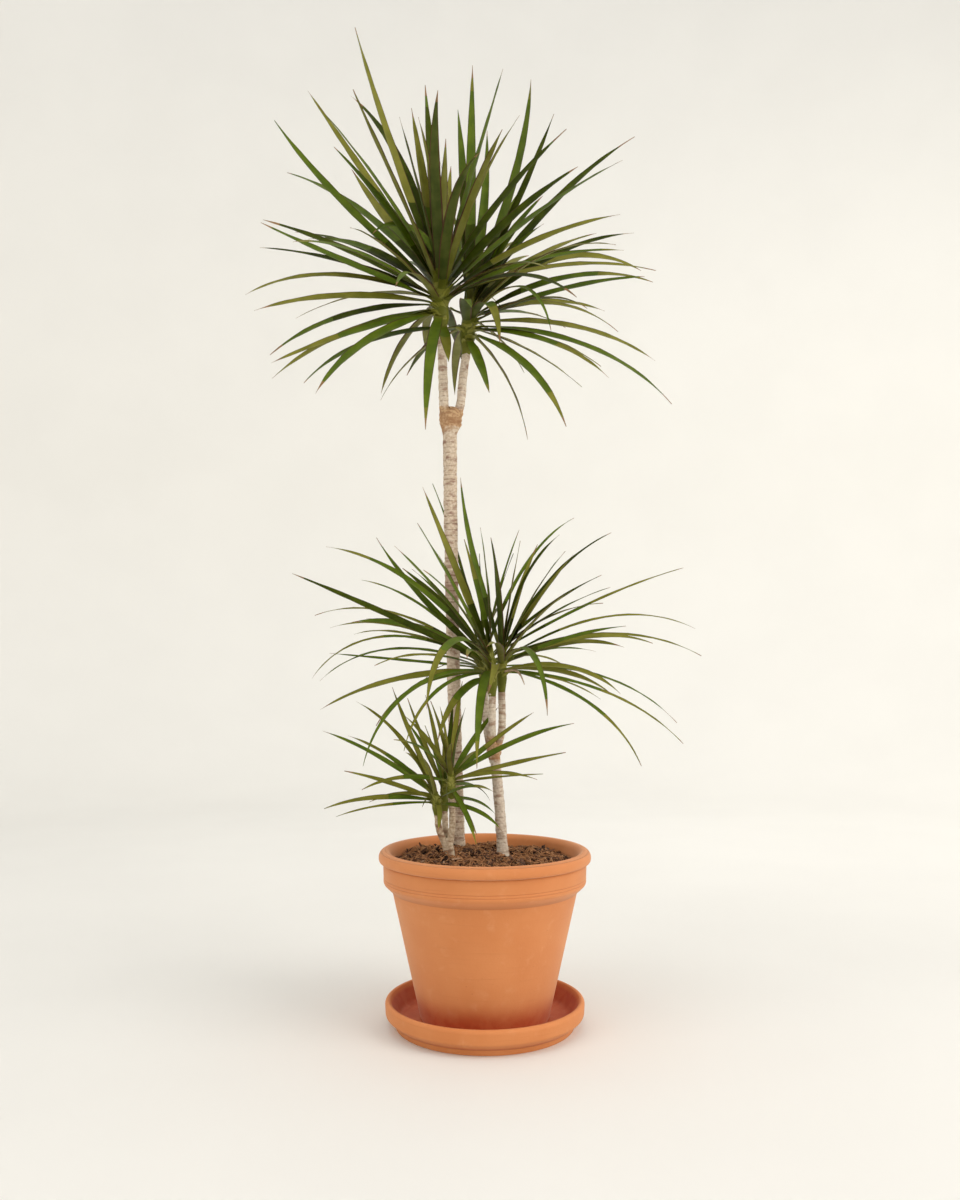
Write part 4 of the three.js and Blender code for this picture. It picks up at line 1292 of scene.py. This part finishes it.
LEAF_FINISHES = [
    # The deep green is a leaf's own tone, and it is also painted shade in the heart of a tall tuft.
    leaf_skin("leaf_upper_deep_green_and_painted_shade", "#333D07", "#434D0B", 0.5, 0.07),
    leaf_skin("leaf_upper_mid_green", "#4A5D0A", "#596A11", 0.45),
    leaf_skin("leaf_upper_olive", "#6A6A1E", "#7A782A", 0.48),
    leaf_skin("leaf_under_olive", "#666626", "#767638", 0.55),
    leaf_skin("leaf_under_bronze", "#3F4A19", "#505824", 0.55),
    leaf_skin("leaf_margin_purple_brown", "#4A301E", "#5A4026", 0.5),
    leaf_skin("leaf_sheath_pale", "#80802E", "#929048", 0.5),
    leaf_skin("leaf_neck_light_green", "#5E621B", "#6C6E25", 0.48),
    leaf_skin("leaf_tip_dry", "#7C5E40", "#947450", 0.7),
]
finish_numbers = range(len(LEAF_FINISHES))
DEEP_GREEN_AND_SHADE, MID, OLIVE, UNDER_OLIVE, UNDER_BRONZE, MARGIN, PALE_SHEATH, LIGHT_NECK, DRY_TIP = finish_numbers
print("leaf finishes:", len(LEAF_FINISHES))

# %% Finishes dealt out
YOUNG_STEM, HANGING = 40, 45
YOUNG_AGE, UPRIGHT_AGE = 0.4, 0.45
PALE_TO, NECK_TO, SHADED_HEART_TO = 0.07, 0.13, 0.3
GREENS_OF_YOUNG_TUFT = [0.05, 0.35, 0.6]
GREENS_OF_YOUNG_LEAF = [0.35, 0.4, 0.25]
GREENS_OF_OLD_LEAF = [0.2, 0.35, 0.45]


def blade_slots(leaf, crown, chance):
    """The finish of each face: margins on the four faces at the edges, underside below,
    sheath and neck near the base, and a dry tip. The upper green is dealt out by leaf: old
    leaves are more olive than young ones, those of a low, young tuft the lightest, and
    hanging ones a fresh green, for they turn their upper side to the light. The outer part of
    a leaf may be one step more olive, and the inner part of an upright one is painted deep
    green as shade, for the heart of a tall tuft lies in shade."""
    young_tuft = crown["stem"] < YOUNG_STEM
    shares_of_greens = GREENS_OF_YOUNG_LEAF if leaf["age"] > YOUNG_AGE else GREENS_OF_OLD_LEAF
    green = chance.choice(3, p=GREENS_OF_YOUNG_TUFT if young_tuft else shares_of_greens)
    if leaf["bend"] - leaf["rise"] > HANGING:
        green = MID
    under = UNDER_OLIVE if chance.uniform() < 0.6 else UNDER_BRONZE
    share = (STATIONS[:-1] / PATH_STEPS)[:, None]
    section = [MARGIN, green, green, green, green, MARGIN, MARGIN, under, under, MARGIN]
    slots = np.broadcast_to(section, (len(share), len(section)))
    slots = np.where((slots == green) & (share > chance.uniform(0.4, 1.4)), min(green + 1, OLIVE), slots)
    # Painted shade: the inner part of an upright leaf turns deep green, for the heart of the tuft lies in
    # shade.
    if leaf["age"] > UPRIGHT_AGE and not young_tuft:
        slots = np.where((slots == green) & (share < SHADED_HEART_TO), DEEP_GREEN_AND_SHADE, slots)
    slots = np.where(share < NECK_TO, LIGHT_NECK, slots)
    slots = np.where(share < PALE_TO, PALE_SHEATH, slots)
    return np.where(share > 1 - chance.uniform(0.02, 0.09), DRY_TIP, slots)


for crown in crowns:
    chance = np.random.default_rng(crown["seed"])
    blades = np.stack([blade(leaf, crown, chance) for leaf in crown["grown"]])
    slots = np.stack([blade_slots(leaf, crown, chance) for leaf in crown["grown"]])
    shape = join(shells(blades, STATIONS / PATH_STEPS, slots), stem_shape(crown))
    make_piece(f"{crown['name']}_fine", shape, LEAF_FINISHES, [crown["name"]])

# %% [markdown]
# ## Floor and light
#
# The plant stands on a pale seamless floor that curves up all round, as in a photo studio,
# so no horizon shows from any side. A large soft lamp at the right throws the faint warm
# shadow to the left, a weaker one fills from the front left, a third lights the backdrop
# behind, and the open top lets in even light.

# %% Seamless floor
FLOOR_REACH, COVE_RADIUS, COVE_HEIGHT = 2300, 1300, 4200
FLAT_RINGS = [50, 400, 1200]


def cove_shape(rows=40, columns=96):
    """A flat disc, a quarter circle up, and a straight wall, turned about the axis. The rows
    run downwards, so the faces look inwards, and only the disc has a cap."""
    bend = np.linspace(0, np.pi / 2, rows)
    across, up = FLOOR_REACH + COVE_RADIUS * np.sin(bend), COVE_RADIUS * (1 - np.cos(bend))
    radius = np.concatenate([FLAT_RINGS, across, [FLOOR_REACH + COVE_RADIUS]])[::-1, None]
    height = np.concatenate([np.zeros(len(FLAT_RINGS)), up, [COVE_HEIGHT]])[::-1, None]
    places, (body, caps) = shells(lathe(radius, height, columns)[None], np.linspace(0, 1, len(radius)))
    return places, [body, tuple(part[1:] for part in caps)]


def backdrop_paper():
    """Matt paper: nearly white and warm, with faint clouds 400 mm wide. Its grain is too fine
    to show."""
    made, tree, shader, place = new_finish("paper_matt_backdrop")
    clouds = add(tree, "TexNoise", {"Vector": place, "Scale": per_metre(400), "Detail": 2.0})
    skin = coat(tree, colour("#E9E8E4"), colour("#EBEAE6"), (clouds, 0.3, 0.7))
    feed(tree, shader, {"Base Color": skin, "Roughness": 0.95, "Specular IOR Level": 0.1})
    return made


cove = new_object("seamless_floor", cove_shape(), [backdrop_paper()])
cove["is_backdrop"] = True
print("floor faces:", len(cove.data.polygons))

# %% Lamps and sky
LAMPS = [
    ("key_lamp", (2.5, -1.4, 2.0), (0, 0, 0.45), 2.4, 51, "#FFFAF4"),
    ("fill_lamp", (-1.8, -1.5, 1.9), (-0.2, 0, 0.3), 2.0, 13, "#FFFDFA"),
    ("backdrop_lamp", (1.2, 1.0, 1.9), (0.6, 3.4, 1.1), 1.4, 13, "#FFFCF6"),
]


def soft_lamp(name, place, target, size, watts, shade):
    """A round lamp at a place in metres that looks at a target. The camera doesn't see it."""
    lamp = bpy.data.objects.new(name, bpy.data.lights.new(name, "AREA"))
    bpy.context.scene.collection.objects.link(lamp)
    lamp.data.shape = "DISK"
    lamp.data.size = size
    lamp.data.energy = watts
    lamp.data.color = colour(shade)[:3]
    x, y, z = np.array(target, float) - place
    lamp.location = place
    lamp.rotation_euler = (np.arctan2(np.hypot(x, y), -z), 0, np.arctan2(y, x) - np.pi / 2)
    lamp.visible_camera = False


for lamp in LAMPS:
    soft_lamp(*lamp)
world = bpy.data.worlds.new("studio_sky")
world.use_nodes = True
sky = world.node_tree.nodes["Background"]
feed(world.node_tree, sky, {"Color": colour("#FEFDFC"), "Strength": 0.95})
bpy.context.scene.world = world
bpy.context.scene.view_settings.view_transform = "Standard"

# %% [markdown]
# ## Last look at the size
#
# The dressed plant has to stay within the model's size. Both boxes are written down, so they
# can be compared after each render.

# %% Sizes and the end
new_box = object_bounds()
for end, new, old in zip(("lowest", "highest"), new_box, cad_box):
    print(end, "corner moved by mm:", [round((after - before) / MM, 1) for after, before in zip(new, old)])
